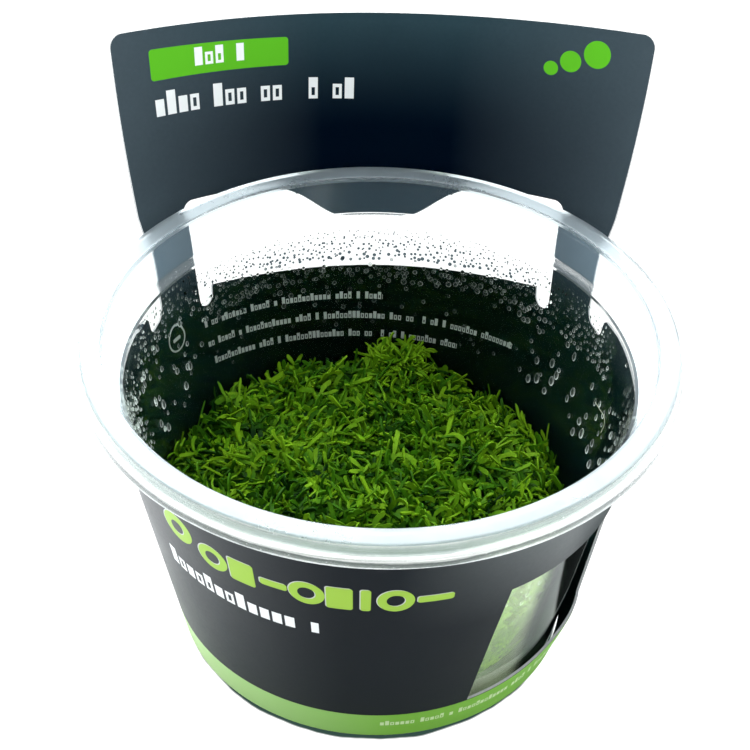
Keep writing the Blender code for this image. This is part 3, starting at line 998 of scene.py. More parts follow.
@dataclass
class ClearCup:
    """The turned clear cup: base, wall, ledge, flange and hanging skirt."""

    rim_height: float = 62.5 * MM
    flange_radius: float = 49.95 * MM
    mouth_radius: float = 46.0 * MM
    skirt_radius: float = 50.5 * MM
    skirt_height: float = 4.6 * MM
    skirt_step: float = 2.2 * MM
    flange_thickness: float = 0.8 * MM
    rim_round: float = 0.6 * MM
    wall: float = 0.7 * MM
    ledge_height: float = 54.6 * MM
    ledge_radius: float = 43.05 * MM
    ledge_width: float = 1.5 * MM
    ledge_rise: float = 0.8 * MM
    foot_radius: float = 34.15 * MM
    foot_round: float = 0.9 * MM
    floor_top: float = 1.1 * MM
    floor_fillet: float = 2.5 * MM
    inner_foot_radius: float = 33.85 * MM
    base_disc_radius: float = 24.6 * MM
    groove_radius: float = 29.6 * MM
    groove_depth: float = 0.5 * MM
    groove_slope: float = 0.4 * MM
    steps: int = 224

    @property
    def skirt_foot(self) -> float:
        """Return the height of the skirt's lower edge."""
        return self.rim_height - self.skirt_height

    def inner_radius(self, height: object) -> object:
        """Return the radius of the inner wall below the ledge, for a number or an array."""
        low = self.floor_top + self.floor_fillet
        slope = (self.ledge_radius - self.inner_foot_radius) / (self.ledge_height - low)
        return self.inner_foot_radius + slope * (height - low)

    def profile(self) -> list[Point2]:
        """Return the section: floor, inner wall, rim, skirt, outer wall and base."""
        step = self.rim_height - self.skirt_step
        under = self.rim_height - self.flange_thickness
        rounding = self.rim_round
        wall = self.wall
        bead = 0.5 * wall
        outer_ledge = self.ledge_radius + self.ledge_width
        fillet = (self.inner_foot_radius - self.floor_fillet, self.floor_top + self.floor_fillet)
        points = arc(fillet, self.floor_fillet, -90, 0, 10)
        for out, up in ((0.0, 0.0), (0.15, 0.2), (1.0, 1.0), (1.2, 1.15), (1.25, 1.5)):
            radius = self.ledge_radius + out * self.ledge_width
            points.append((radius, self.ledge_height + up * self.ledge_rise))
        points += arc((self.mouth_radius + rounding, self.rim_height - rounding), rounding, 180, 90, 8)
        points += arc((self.flange_radius - rounding, self.rim_height - rounding), rounding, 90, 0, 8)
        points += [
            (self.flange_radius + 0.1 * wall, step),
            (self.flange_radius + 0.25 * wall, step - 0.3 * wall),
            (self.skirt_radius - 0.1 * wall, step - 0.5 * wall),
        ]
        points += arc((self.skirt_radius - bead, self.skirt_foot + bead), bead, 0, -180, 8)
        points += [
            (self.flange_radius - wall, under - 0.3 * wall),
            (self.flange_radius - 1.3 * wall, under),
            (self.mouth_radius + wall, under),
            (self.mouth_radius + 0.7 * wall, under - 0.5 * wall),
            (outer_ledge + 1.4 * wall, self.ledge_height + 0.9 * self.ledge_rise),
            (outer_ledge + wall, self.ledge_height + 0.4 * self.ledge_rise),
            (self.ledge_radius + wall, self.ledge_height - 0.3 * self.ledge_rise),
        ]
        points += arc((self.foot_radius - self.foot_round, self.foot_round), self.foot_round, 0, -90, 8)
        points += [
            (self.groove_radius + self.groove_slope, 0.0),
            (self.groove_radius, self.groove_depth),
            (self.base_disc_radius + self.groove_slope, self.groove_depth),
            (self.base_disc_radius, 0.0),
        ]
        return points

    def build(self) -> Piece:
        """Turn the cup and dress it."""
        piece = turned("clear_cup", self.profile(), self.steps)
        smooth(piece, 32.0)
        flange = {"clearness": 0.85, "tint": (0.80, 0.90, 0.95), "shade": (0.72, 0.84, 0.90)}
        # Painted light on the cup: painted shade and glow on the wall behind the card's window, a painted
        # glow at the sides of the ledge and neck, and painted reflections and glints on the front skirt.
        finishes = [
            ClearPlastic("clear_wall", index=1.22, window=(math.radians(100), math.radians(157))),
            ClearPlastic("ledge", roughness=0.16, index=1.35, haze_glow=0.5, haze_glow_sides=(39.5 * MM, 43.5 * MM)),
            ClearPlastic("neck_haze_glow", roughness=0.10, haze_glow=0.10, haze_glow_colour=(0.50, 0.74, 0.92), index=1.3),
            ClearPlastic("frosted_flange", roughness=0.34, **flange),
            RimPaintedLight(self.skirt_foot, self.rim_height),
            ClearPlastic("back_skirt", roughness=0.02, index=1.08, ripple=0.004 * MM),
        ]
        dress(piece, [finish.material() for finish in finishes], "cup")
        for face in piece.data.polygons:
            face.material_index = self.finish_at(face.center)
        return piece

    def finish_at(self, place: Vector) -> int:
        """Return which finish covers a place: wall, ledge, neck, flange, or skirt at the front or back."""
        reach = math.hypot(place.x, place.y)
        if place.z < self.ledge_height - self.ledge_rise / 2:
            return 0
        if reach < self.mouth_radius + self.rim_round / 2:
            return 1 if place.z < self.ledge_height + 1.1 * self.ledge_rise else 2
        if place.z < self.rim_height - self.rim_round / 2 and reach > self.flange_radius - 2 * self.wall:
            return 4 if place.y < 0.0 else 5
        return 3


@dataclass
class Jelly:
    """The jelly on the cup's floor, with a raised rim where it wets the wall."""

    cup: ClearCup
    top: float = 12.0 * MM
    dip: float = 0.5 * MM
    gap: float = 0.12 * MM
    steps: int = 160

    def build(self) -> Piece:
        """Turn the jelly and dress it."""
        cup = self.cup
        edge = cup.inner_radius(self.top) - self.gap
        shares = ((6, 1.0), (3, 0.9), (1.2, 0.55), (0, 0.0))
        profile = [(edge - inward * self.dip, self.top - down * self.dip) for inward, down in shares]
        middle = (cup.inner_foot_radius - cup.floor_fillet, cup.floor_top + cup.floor_fillet)
        profile += arc(middle, cup.floor_fillet - self.gap, 0, -90, 8)
        piece = turned("set_jelly", profile, self.steps)
        smooth(piece, 40.0)
        dress(piece, [WetJelly().material()], "nutrient_gel")
        return piece


@dataclass
class CardSleeve:
    """The die-cut card: drawn flat, cut into cells, wrapped round the cup and thickened."""

    card: float = 0.45 * MM
    foot: float = 2.0 * MM
    foot_radius: float = 35.0 * MM
    slope: float = 0.1973
    join_height: float = 43.5 * MM
    board_reach: float = 51.3 * MM
    board_reach_height: float = 58.5 * MM
    board_lean: float = 0.015
    flatten_left: float = 298.0
    flatten_right: float = 338.0
    board_top: float = 93.6 * MM
    board_half_width: float = 48.1 * MM
    board_flare_left: float = -0.1 * MM
    board_flare_right: float = 1.0 * MM
    board_corner: float = 2.2 * MM
    rim_height: float = 62.5 * MM
    band_top_front: float = 54.2 * MM
    band_top_side: float = 50.3 * MM
    band_top_left_rear: float = 51.2 * MM
    band_top_right_rear: float = 51.4 * MM
    cutout_foot: float = 44.5 * MM
    cutout_rise: float = 2.2 * MM
    cutout_rise_span: float = 30.0 * MM
    cutout_top: float = 61.3 * MM
    tongue_root: float = 59.5 * MM
    cutout_corner: float = 2.0 * MM
    post_inner_left: float = 38.2 * MM
    post_inner_right: float = 37.3 * MM
    tongue_tip: float = 52.4 * MM
    tongue_tip_half: float = 5.0 * MM
    tongue_root_half: float = 20.3 * MM
    notch_radius: float = 1.6 * MM
    inner_notch: float = 34.6 * MM
    outer_notch: float = 48.1 * MM
    outer_notch_radius: float = 1.9 * MM
    outer_notch_foot: float = 47.0 * MM
    window_azimuth: float = math.radians(128.2)
    window_half_width: float = 17.05 * MM
    window_foot: float = 8.9 * MM
    window_top: float = 40.4 * MM
    bow: float = 1.45 * MM
    bow_azimuth: float = math.radians(102.0)
    bow_spread: float = math.radians(17.0)
    bow_heights: tuple[float, float, float] = (1.0 * MM, 8.5 * MM, 33.0 * MM)
    cell: float = 2.0 * MM

    def radius(self, height: float) -> float:
        """Return the radius of the tapering band."""
        return self.foot_radius + self.slope * (height - self.foot)

    @property
    def seam(self) -> float:
        """Return half the length of the flat band, from the back to the seam."""
        return math.pi * self.radius(self.join_height)

    def on_band(self, across: float, height: float) -> Vector:
        """Place a point of the flat card on the tapering band."""
        angle = across / self.radius(self.join_height)
        radius = self.radius(height) + self.bowed(angle, height)
        return Vector((radius * math.sin(angle), radius * math.cos(angle), height))

    def bowed(self, azimuth: float, height: float) -> float:
        """Return how far the weakened card stands off behind the window."""
        low, full, high = self.bow_heights
        share = min(ease((height - low) / (full - low)), max(0.0, (high - height) / (high - full)))
        gap = (azimuth - self.bow_azimuth) / self.bow_spread
        return self.bow * share * math.exp(-gap * gap)

    def on_board(self, across: float, height: float) -> Vector:
        """Place a point of the flat card on the back board, whose curve flattens with height."""
        join_radius = self.radius(self.join_height)
        above = height - self.join_height
        flatten = self.flatten_right if across > 0 else self.flatten_left
        curvature = 1.0 / join_radius - flatten * above
        run = self.board_reach_height - self.join_height
        part = min(1.0, above / run)
        start = self.slope * run * (part - 2.0 * part**2 + part**3)
        reach = join_radius + start + (self.board_reach - join_radius) * ease(part)
        reach += self.board_lean * max(0.0, height - self.board_reach_height)
        angle = across * curvature
        return Vector((math.sin(angle) / curvature, reach - (1.0 - math.cos(angle)) / curvature, height))

    def wrapped(self, across: float, height: float) -> Vector:
        """Wrap a point of the flat card: the band is a cone and the board springs off it."""
        if height <= self.join_height:
            return self.on_band(across, height)
        if height >= self.rim_height:
            return self.on_board(across, height)
        outer = self.outer_notch + self.outer_notch_radius
        share = ease((outer - abs(across)) / (outer - self.board_half_width))
        if share <= 0.0:
            return self.on_band(across, height)
        return self.on_band(across, height).lerp(self.on_board(across, height), share)

    def band_top(self, across: float) -> float:
        """Return the height of the band's top edge, which dips at both sides of the cup."""
        angle = abs(across) / self.radius(self.join_height)
        rear = self.band_top_right_rear if across > 0 else self.band_top_left_rear
        to_side = ease((angle - math.radians(72)) / math.radians(16))
        to_front = ease((angle - math.radians(96)) / math.radians(34))
        height = rear + (self.band_top_side - rear) * to_side
        return height + (self.band_top_front - self.band_top_side) * to_front

    def half_outline(self, side: int) -> list[Point2]:
        """Return the card's edge from the seam to the middle of the board's top."""
        steps = 60
        shoulder = self.outer_notch + self.outer_notch_radius
        points = []
        for step in range(steps + 1):
            across = self.seam + (shoulder + 0.6 * MM - self.seam) * step / steps
            points.append((side * across, self.band_top(side * across)))
        level = self.outer_notch_foot + self.outer_notch_radius
        points.append((side * shoulder, self.band_top(side * shoulder) - 0.6 * MM))
        points += mirrored(side, arc((self.outer_notch, level), self.outer_notch_radius, 0, -180, 12))
        points.append((side * self.board_half_width, self.rim_height))
        flare = self.board_flare_right if side > 0 else self.board_flare_left
        corner = (self.board_half_width + flare - self.board_corner, self.board_top - self.board_corner)
        return points + mirrored(side, arc(corner, self.board_corner, 0, 90, 10))

    def half_cutout(self, side: int) -> list[Point2]:
        """Return one half of the cutout, from the middle of its foot to the tongue's tip."""
        edge_end = self.inner_notch - self.notch_radius
        points = []
        for step in range(12):
            across = edge_end * step / 11
            rise = self.cutout_rise * (across / self.cutout_rise_span) ** 2
            points.append((side * across, self.cutout_foot + rise))
        level = self.cutout_foot + self.notch_radius
        points += mirrored(side, arc((self.inner_notch, level), self.notch_radius, 180, 360, 12)[1:])
        inner = self.post_inner_right if side > 0 else self.post_inner_left
        corner = (inner - self.cutout_corner, self.cutout_top - self.cutout_corner)
        points += mirrored(side, arc(corner, self.cutout_corner, 0, 90, 6))
        for step in range(16):
            share = step / 15
            across = self.tongue_root_half + (self.tongue_tip_half - self.tongue_root_half) * share
            height = self.tongue_root + (self.tongue_tip - self.tongue_root) * ease(share)
            points.append((side * across, height))
        return points

    def window(self) -> list[Point2]:
        """Return the side window's outline: a rectangle of constant width on the band."""
        points = []
        for height, sides in ((self.window_foot, (-1, 1)), (self.window_top, (1, -1))):
            half = self.window_half_width / self.radius(height)
            for sign in sides:
                points.append((self.radius(self.join_height) * (self.window_azimuth + sign * half), height))
        return points

    def outlines(self) -> list[list[Point2]]:
        """Return the closed outlines of the card: its edge, the cutout and the window."""
        edge = [(self.seam, self.foot), *self.half_outline(1)]
        edge += [*self.half_outline(-1)[::-1], (-self.seam, self.foot)]
        cutout = self.half_cutout(-1)[:0:-1] + self.half_cutout(1)
        return [edge, cutout, self.window()]

    def flat_card(self) -> Piece:
        """Draw the outlines as a filled flat curve and make it a mesh."""
        curve = bpy.data.curves.new("card_sleeve", "CURVE")
        curve.dimensions = "2D"
        curve.fill_mode = "BOTH"
        for outline in self.outlines():
            spline = curve.splines.new("POLY")
            spline.points.add(len(outline) - 1)
            spline.use_cyclic_u = True
            for point, (x, y) in zip(spline.points, outline):
                point.co = (x, y, 0.0, 1.0)
        return from_curve(curve)

    def cut_cells(self, piece: Piece) -> None:
        """Cut the flat card along straight columns and rows, so that it can bend there."""
        columns = math.ceil(2 * self.seam / self.cell)
        rows = math.ceil(self.board_top / self.cell)
        cuts = [((2 * self.seam * step / columns - self.seam, 0, 0), (1, 0, 0)) for step in range(1, columns)]
        cuts += [((0, self.board_top * step / rows, 0), (0, 1, 0)) for step in range(1, rows)]
        cuts.append(((0, self.join_height, 0), (0, 1, 0)))
        with editing(piece):
            for place, facing in cuts:
                bpy.ops.mesh.select_all(action="SELECT")
                bpy.ops.mesh.bisect(plane_co=place, plane_no=facing, threshold=1e-7)

    def mark_card(self, piece: Piece) -> None:
        """Keep the flat place of every corner, in millimetres, as the UV map "card"."""
        layer = piece.data.uv_layers.new(name="card")
        for loop in piece.data.loops:
            flat = piece.data.vertices[loop.vertex_index].co
            layer.data[loop.index].uv = (flat.x / MM, flat.y / MM)

    def build(self) -> Piece:
        """Cut, wrap and thicken the card, then dress it."""
        piece = self.flat_card()
        self.cut_cells(piece)
        self.mark_card(piece)
        for vertex in piece.data.vertices:
            vertex.co = self.wrapped(vertex.co.x, vertex.co.y)
        with editing(piece):
            bpy.ops.mesh.select_all(action="SELECT")
            bpy.ops.mesh.remove_doubles(threshold=0.01 * MM)
            bpy.ops.mesh.select_all(action="SELECT")
            bpy.ops.mesh.flip_normals()
        finishes = [PrintedCard(side, self.seam / MM).material() for side in (CardSide.OUTER, CardSide.INNER)]
        dress(piece, [*finishes, CutEdge().material()], "sleeve")
        thicken(piece, self.card, use_even_offset=True, material_offset=1, material_offset_rim=2)
        smooth(piece, 40.0)
        return piece


@dataclass
class RibbonShape:
    """One forked flat ribbon, modelled flat and growing along +X."""

    rng: random.Random
    forks: int
    arm_steps: int
    stem_steps: int
    spread: float
    width: float = 0.96 * MM
    thickness: float = 0.27 * MM
    step: float = 0.84 * MM
    tip: float = 0.3

    def build(self) -> Shape:
        """Extrude the stem and its arms, give them thickness and return the shape."""
        deselect_all()
        bpy.ops.mesh.primitive_plane_add(size=1.0)
        piece = bpy.context.object
        piece.scale = (self.step, self.width * 0.92, 1.0)
        piece.location = (self.step / 2, 0.0, 0.0)
        settle(piece)
        half = self.width * 0.46
        edge = [Vector((self.step, -half, 0)), Vector((self.step, half, 0))]
        with editing(piece):
            self.grow(piece, edge, 0.0, self.stem_steps, self.forks)
        thicken(piece, self.thickness)
        return Shape.taken_from(piece)

    def grow(self, piece: Piece, edge: list, heading: float, steps: int, forks: int) -> None:
        """Extrude an edge along a gently bending line, then fork it or end it in a blunt tip.

        Args:
            piece: the ribbon in edit mode.
            edge: the two ends of the edge to grow from.
            heading: the direction of growth in the ribbon's plane.
            steps: how many stretches to grow.
            forks: how many more times to fork.
        """
        select_places(piece, edge)
        bend = self.rng.uniform(-0.45, 0.45)
        curl = self.rng.uniform(-0.8, 0.5)
        centre = (edge[0] + edge[1]) / 2
        span = (edge[1] - edge[0]).length
        for step in range(steps):
            heading += bend
            reach = self.step * self.rng.uniform(0.8, 1.2) * (1.15 if step == 0 else 1.0)
            move = Vector((math.cos(heading), math.sin(heading), curl * (step + 1) / steps)) * reach
            bpy.ops.mesh.extrude_edges_move(TRANSFORM_OT_translate={"value": move})
            centre = centre + move
            bpy.ops.transform.rotate(value=-bend, orient_axis="Z", center_override=centre)
            share = min(1.9, self.width / span) if step == 0 else 1.0
            span *= share
            bpy.ops.transform.resize(value=(share, share, 1.0), center_override=centre)
        if forks == 0:
            move = Vector((math.cos(heading), math.sin(heading), curl)) * self.step * self.tip
            bpy.ops.mesh.extrude_edges_move(TRANSFORM_OT_translate={"value": move})
            bpy.ops.transform.resize(value=(0.6, 0.6, 1.0), center_override=centre + move)
            return
        bpy.ops.mesh.subdivide(number_cuts=1)
        sideways = Vector((-math.sin(heading), math.cos(heading), 0))
        ends = sorted(selected_places(piece), key=lambda place: (place - centre).dot(sideways))
        for side, pair in ((-1, ends[:2]), (1, ends[1:])):
            turn = side * math.radians(self.spread) * self.rng.uniform(0.7, 1.25)
            self.grow(piece, list(pair), heading + turn, self.arm_steps, forks - 1)


@dataclass
class PlantMat:
    """The crystalwort: a heap under thousands of forked ribbons, coloured darkest as painted shade.

    The rows of kinds are forks, steps of an arm, steps of the stem and spread in degrees. The rows of
    humps are place, rise and size in millimetres.
    """

    cup: ClearCup
    jelly_top: float = 12.0 * MM
    crown: float = 27.2 * MM
    dome: float = 4.0
    lean: float = 0.05
    humps: tuple = ((-17.0, 32.0, 2.4, 11.0), (4.5, 34.0, 4.6, 7.0), (-30.0, 18.0, 1.2, 8.0))
    lump_size: float = 8.0 * MM
    lump_height: float = 1.5 * MM
    top_count: int = 5000
    wall_count: int = 1500
    per_piece: int = 1600
    wall_gap: float = 0.25 * MM
    right_gap: float = 3.0 * MM
    tuft: Point2 = (5.0, 35.0)
    tuft_count: int = 90
    top_edge: float = 37.6 * MM
    sunk: float = 2.4 * MM
    kinds: tuple = (
        (1, 2, 2, 42),
        (1, 3, 1, 42),
        (1, 2, 3, 42),
        (1, 2, 2, 48),
        (2, 2, 1, 42),
        (1, 4, 2, 28),
        (2, 3, 1, 42),
        (1, 3, 3, 42),
    )
    seed: int = 11

    def height(self, x: float, y: float) -> float:
        """Return the height of the heap's surface above a place."""
        level = self.crown - self.dome * (x * x + y * y) - self.lean * x
        for middle_x, middle_y, rise, size in self.humps:
            gap = math.hypot(x / MM - middle_x, y / MM - middle_y) / size
            level += rise * MM * math.exp(-gap * gap)
        level += self.lump_height * noise.noise(Vector((x, y, 0.0)) / self.lump_size)
        return level + 0.5 * self.lump_height * noise.noise(Vector((x, y, 0.02)) / (0.45 * self.lump_size))

    def hold_inside(self, points: np.ndarray) -> np.ndarray:
        """Press points that would pass through the cup's wall or the jelly back inside."""
        pressed = points.copy()
        pressed[:, 2] = np.maximum(pressed[:, 2], self.jelly_top + 0.1 * MM)
        reach = np.maximum(np.hypot(pressed[:, 0], pressed[:, 1]), 1e-6)
        limit = self.cup.inner_radius(pressed[:, 2]) - self.wall_gap
        limit -= self.right_gap * np.maximum(0.0, pressed[:, 0] / reach) ** 2
        pressed[:, :2] *= np.where(reach > limit, limit / reach, 1.0)[:, None]
        return pressed

    def shapes(self, rng: random.Random) -> list[Shape]:
        """Model the ribbon shapes that the mat repeats, one for each row of kinds."""
        return [RibbonShape(rng, *kind).build() for kind in self.kinds]

    def slope(self, x: float, y: float) -> Matrix:
        """Return the turn that lays something level onto the heap's surface at a place."""
        step = 2.0 * MM
        along_x = self.height(x + step, y) - self.height(x - step, y)
        along_y = self.height(x, y + step) - self.height(x, y - step)
        normal = Vector((-along_x, -along_y, 2 * step)).normalized()
        return Vector((0, 0, 1)).rotation_difference(normal).to_matrix()

    def turn(self, rng: random.Random, heading: float, lift: float, roll: float) -> np.ndarray:
        """Return the turn and size of one ribbon."""
        size = rng.uniform(0.8, 1.2)
        made = Matrix.Rotation(heading, 3, "Z") @ Matrix.Rotation(-lift, 3, "Y")
        return np.array(made @ Matrix.Rotation(roll, 3, "X")) * size

    def top_poses(self, rng: random.Random, kinds: int) -> list[Pose]:
        """Scatter ribbons over the top of the heap."""
        poses = []
        edge = self.top_edge
        while len(poses) < self.top_count:
            x, y = rng.uniform(-edge, edge), rng.uniform(-edge, edge)
            if math.hypot(x, y) > edge:
                continue
            depth = self.sunk * rng.random()
            lift = math.radians(rng.gauss(12, 24))
            place = np.array((x, y, self.height(x, y) - depth + 0.8 * MM))
            turn = self.turn(rng, rng.uniform(0, math.tau), lift, math.radians(rng.gauss(0, 50)))
            turn = np.array(self.slope(x, y)) @ turn
            patch = noise.noise(Vector((x, y, 0.5)) / (7 * MM))
            # Painted shade: ribbons sunk deeper into the heap get a darker tone.
            tone = held(0.81 + 0.14 * patch + rng.gauss(0, 0.09) - 0.38 * depth / MM)
            poses.append(Pose(rng.randrange(kinds), turn, place, tone, self.hold_inside))
        return poses

    def wall_poses(self, rng: random.Random, kinds: int) -> list[Pose]:
        """Scatter ribbons down the side of the heap, pressed against the wall."""
        poses = []
        for _ in range(self.wall_count):
            angle = rng.uniform(0, math.tau)
            inward = rng.uniform(0.3, 3.0) * MM
            spot = Vector((math.cos(angle), math.sin(angle), 0)) * 36.5 * MM
            top = self.height(spot.x, spot.y)
            height = rng.uniform(self.jelly_top + 0.3 * MM, top)
            reach = self.cup.inner_radius(height) - inward
            place = np.array((reach * math.cos(angle), reach * math.sin(angle), height))
            along = angle + math.pi / 2 + math.radians(rng.gauss(0, 25))
            along += math.pi if rng.random() < 0.5 else 0
            turn = self.turn(rng, along, math.radians(rng.uniform(-70, 70)), math.radians(rng.gauss(90, 30)))
            tone = held(rng.gauss(0.5, 0.2))
            poses.append(Pose(rng.randrange(kinds), turn, place, tone, self.hold_inside))
        return poses

    def tuft_poses(self, rng: random.Random, kinds: int) -> list[Pose]:
        """Stand a small pale tuft up at the back."""
        poses = []
        for _ in range(self.tuft_count):
            angle = rng.uniform(0, math.tau)
            far = 3.4 * MM * math.sqrt(rng.random())
            x = self.tuft[0] * MM + far * math.cos(angle)
            y = self.tuft[1] * MM + far * math.sin(angle) * 0.6
            base = self.height(x, y) + rng.uniform(-1.0, 2.6) * MM
            lift = math.radians(rng.uniform(15, 60))
            turn = self.turn(rng, angle + rng.gauss(0, 0.5), lift, math.radians(rng.gauss(0, 40))) * 0.8
            kind = rng.randrange(kinds)
            tone = min(1.0, rng.gauss(0.85, 0.1))
            poses.append(Pose(kind, turn, np.array((x, y, base)), tone, self.hold_inside))
        return poses

    def heap(self) -> Piece:
        """Model the heap under the ribbons from a sphere pulled to the heap's form, with the darkest tone as
        painted shade.
        """
        deselect_all()
        bpy.ops.mesh.primitive_uv_sphere_add(segments=72, ring_count=36, radius=1.0)
        piece = bpy.context.object
        piece.name = "plant_heap"
        level = self.jelly_top + 0.15 * MM
        for vertex in piece.data.vertices:
            x, y, z = vertex.co
            flat = math.hypot(x, y)
            spread = flat**0.6 / flat if flat > 1e-6 else 0.0
            x, y = x * spread, y * spread
            top = self.height(x * 35 * MM, y * 35 * MM) - self.sunk
            height = level + (top - level) * (0.5 + 0.5 * math.copysign(abs(z) ** 0.35, z))
            reach = self.cup.inner_radius(height) - 1.5 * MM
            vertex.co = (x * reach, y * reach, height)
        smooth(piece, 60.0)
        # Painted shade: the heap takes the darkest tone, for the shade in the depths between the ribbons.
        layer = piece.data.attributes.new("tone", "FLOAT", "POINT")
        layer.data.foreach_set("value", np.full(len(piece.data.vertices), 0.02, np.float32))
        return piece

    def build(self) -> None:
        """Build the heap and the ribbons and dress them."""
        finish = PlantSkin().material()
        heap = self.heap()
        dress(heap, [finish], "crystalwort_mat")
        rng = random.Random(self.seed)
        shapes = self.shapes(rng)
        kinds = len(shapes)
        poses = self.top_poses(rng, kinds) + self.wall_poses(rng, kinds) + self.tuft_poses(rng, kinds)
        for number, start in enumerate(range(0, len(poses), self.per_piece), 1):
            piece = joined_copies(f"ribbons_{number}", shapes, poses[start : start + self.per_piece])
            smooth(piece, 50.0)
            dress(piece, [finish], "crystalwort_mat")


@dataclass(frozen=True)
class Mist:
    """A patch of drops on the wall, laid out on a loose grid.

    Azimuths are in degrees from the back towards the right, lengths in millimetres; sizes are the
    radii at the patch's foot and top.
    """

    azimuths: Point2
    heights: Point2
    spacing: float
    sizes: Point2
    chance: float = 1.0
    stretch: float = 1.0


@dataclass
class WallDrops:
    """Condensed drops on the inside of the cup's wall."""

    cup: ClearCup
    mists: tuple = (
        Mist((-52, 50), (47.4, 53.2), 0.95, (0.34, 0.11), 0.88),
        Mist((-50, 48), (43.6, 47.6), 1.15, (0.44, 0.34), 0.72),
        Mist((-50, 50), (41.5, 46.0), 1.5, (0.50, 0.42), 0.45, 1.1),
        Mist((-60, 58), (31.0, 42.0), 2.4, (0.30, 0.42), 0.30, 1.2),
        Mist((-80, -52), (46.0, 54.0), 1.15, (0.36, 0.26), 0.75, 1.2),
        Mist((-100, -56), (31.0, 47.0), 2.1, (0.50, 0.42), 0.42, 1.7),
        Mist((-112, -84), (34.0, 53.0), 1.0, (0.32, 0.26), 0.55, 1.4),
        Mist((50, 76), (44.0, 53.0), 1.1, (0.34, 0.20), 0.75, 1.2),
        Mist((40, 96), (29.0, 45.0), 3.0, (0.56, 0.40), 0.42, 1.9),
        Mist((84, 118), (34.0, 53.0), 1.9, (0.32, 0.24), 0.30, 1.6),
        Mist((140, 222), (30.0, 53.0), 1.9, (0.36, 0.26), 0.35, 1.3),
    )
    sunk: float = 0.10 * MM
    card_edge: float = 46.5 * MM
    card_edge_rise: float = 2.4
    seed: int = 23

    def drop(self) -> Shape:
        """Model one drop: a dome with a flat back."""
        deselect_all()
        bpy.ops.mesh.primitive_uv_sphere_add(segments=10, ring_count=8, radius=1.0)
        piece = bpy.context.object
        with editing(piece):
            bpy.ops.mesh.select_all(action="SELECT")
            bpy.ops.mesh.bisect(plane_co=(0, 0, 0.02), plane_no=(0, 0, 1), use_fill=True, clear_inner=True)
        return Shape.taken_from(piece)

    def pose(self, rng: random.Random, azimuth: float, height: float, size: float, stretch: float) -> Pose:
        """Place one drop flat against the wall, its long side up and down."""
        outward = Vector((math.sin(azimuth), math.cos(azimuth), 0.0))
        tilt = math.atan(self.cup.inner_radius(1.0) - self.cup.inner_radius(0.0))
        normal = Vector((0, 0, math.sin(tilt))) - outward * math.cos(tilt)
        upward = outward * math.sin(tilt) + Vector((0, 0, math.cos(tilt)))
        axes = np.array(Matrix((upward.cross(normal), upward, normal)).transposed())
        turn = axes @ np.diag((size, size * stretch, size * rng.uniform(0.75, 0.95)))
        reach = self.cup.inner_radius(height) + self.sunk
        around = math.remainder(azimuth, math.tau)
        card_edge = self.card_edge + self.card_edge_rise * (self.cup.ledge_radius * around) ** 2
        # Drops above the card's edge at the back take the painted dark; the rest take a painted glint, dimmer
        # behind the card and brightest at the sides.
        if abs(around) < math.radians(54) and height > card_edge:
            tone = ease((height - card_edge) / (0.6 * MM))
        else:
            behind = ease((math.radians(70) - abs(around)) / math.radians(40))
            tone = max(0.0, 0.42 * behind + rng.uniform(-0.1, 0.08))
        return Pose(0, turn, np.array(outward * reach) + np.array((0, 0, height)), tone)

    def build(self) -> Piece:
        """Lay the drops over the wall and dress them."""
        rng = random.Random(self.seed)
        poses = []
        for mist in self.mists:
            low, high = mist.heights
            rows = math.ceil((high - low) / mist.spacing)
            for row in range(rows):
                height = low + (high - low) * (row + 0.5) / rows
                arc_length = self.cup.inner_radius(height * MM) / MM
                first, last = (math.radians(angle) * arc_length for angle in mist.azimuths)
                for column in range(math.ceil((last - first) / mist.spacing)):
                    if rng.random() > mist.chance:
                        continue
                    along = first + mist.spacing * (column + 0.5 * (row % 2) + rng.uniform(-0.4, 0.4))
                    level = height + mist.spacing * rng.uniform(-0.4, 0.4)
                    size = mist.sizes[0] + (mist.sizes[1] - mist.sizes[0]) * (level - low) / (high - low)
                    size *= rng.uniform(0.6, 1.2)
                    stretch = 1.0 + (mist.stretch - 1.0) * rng.uniform(0.4, 1.4)
                    poses.append(self.pose(rng, along / arc_length, level * MM, size * MM, stretch))
        piece = joined_copies("wall_drops", [self.drop()], poses)
        smooth(piece, 50.0)
        dress(piece, [WaterDrop().material()], "cup")
        return piece


@dataclass
class PaleThread:
    """A bleached thread that clings to the right of the wall."""

    thickness: float = 0.05 * MM
    points: tuple = (
        (39.0, 9.1, 39.8),
        (39.6, 6.9, 39.9),
        (40.1, 4.4, 40.0),
        (40.0, 3.6, 39.0),
        (39.5, 2.9, 38.0),
    )

    def build(self) -> Piece:
        """Sweep the thread along its points and dress it."""
        curve = bpy.data.curves.new("pale_thread", "CURVE")
        curve.dimensions = "3D"
        curve.bevel_depth = self.thickness
        curve.bevel_resolution = 2
        curve.resolution_u = 6
        curve.use_fill_caps = True
        spline = curve.splines.new("BEZIER")
        spline.bezier_points.add(len(self.points) - 1)
        for knot, place in zip(spline.bezier_points, self.points):
            knot.co = Vector(place) * MM
            knot.handle_left_type = knot.handle_right_type = "AUTO"
        piece = from_curve(curve)
        smooth(piece, 60.0)
        dress(piece, [DeadStrand().material()], "crystalwort_mat")
        return piece


# Stage


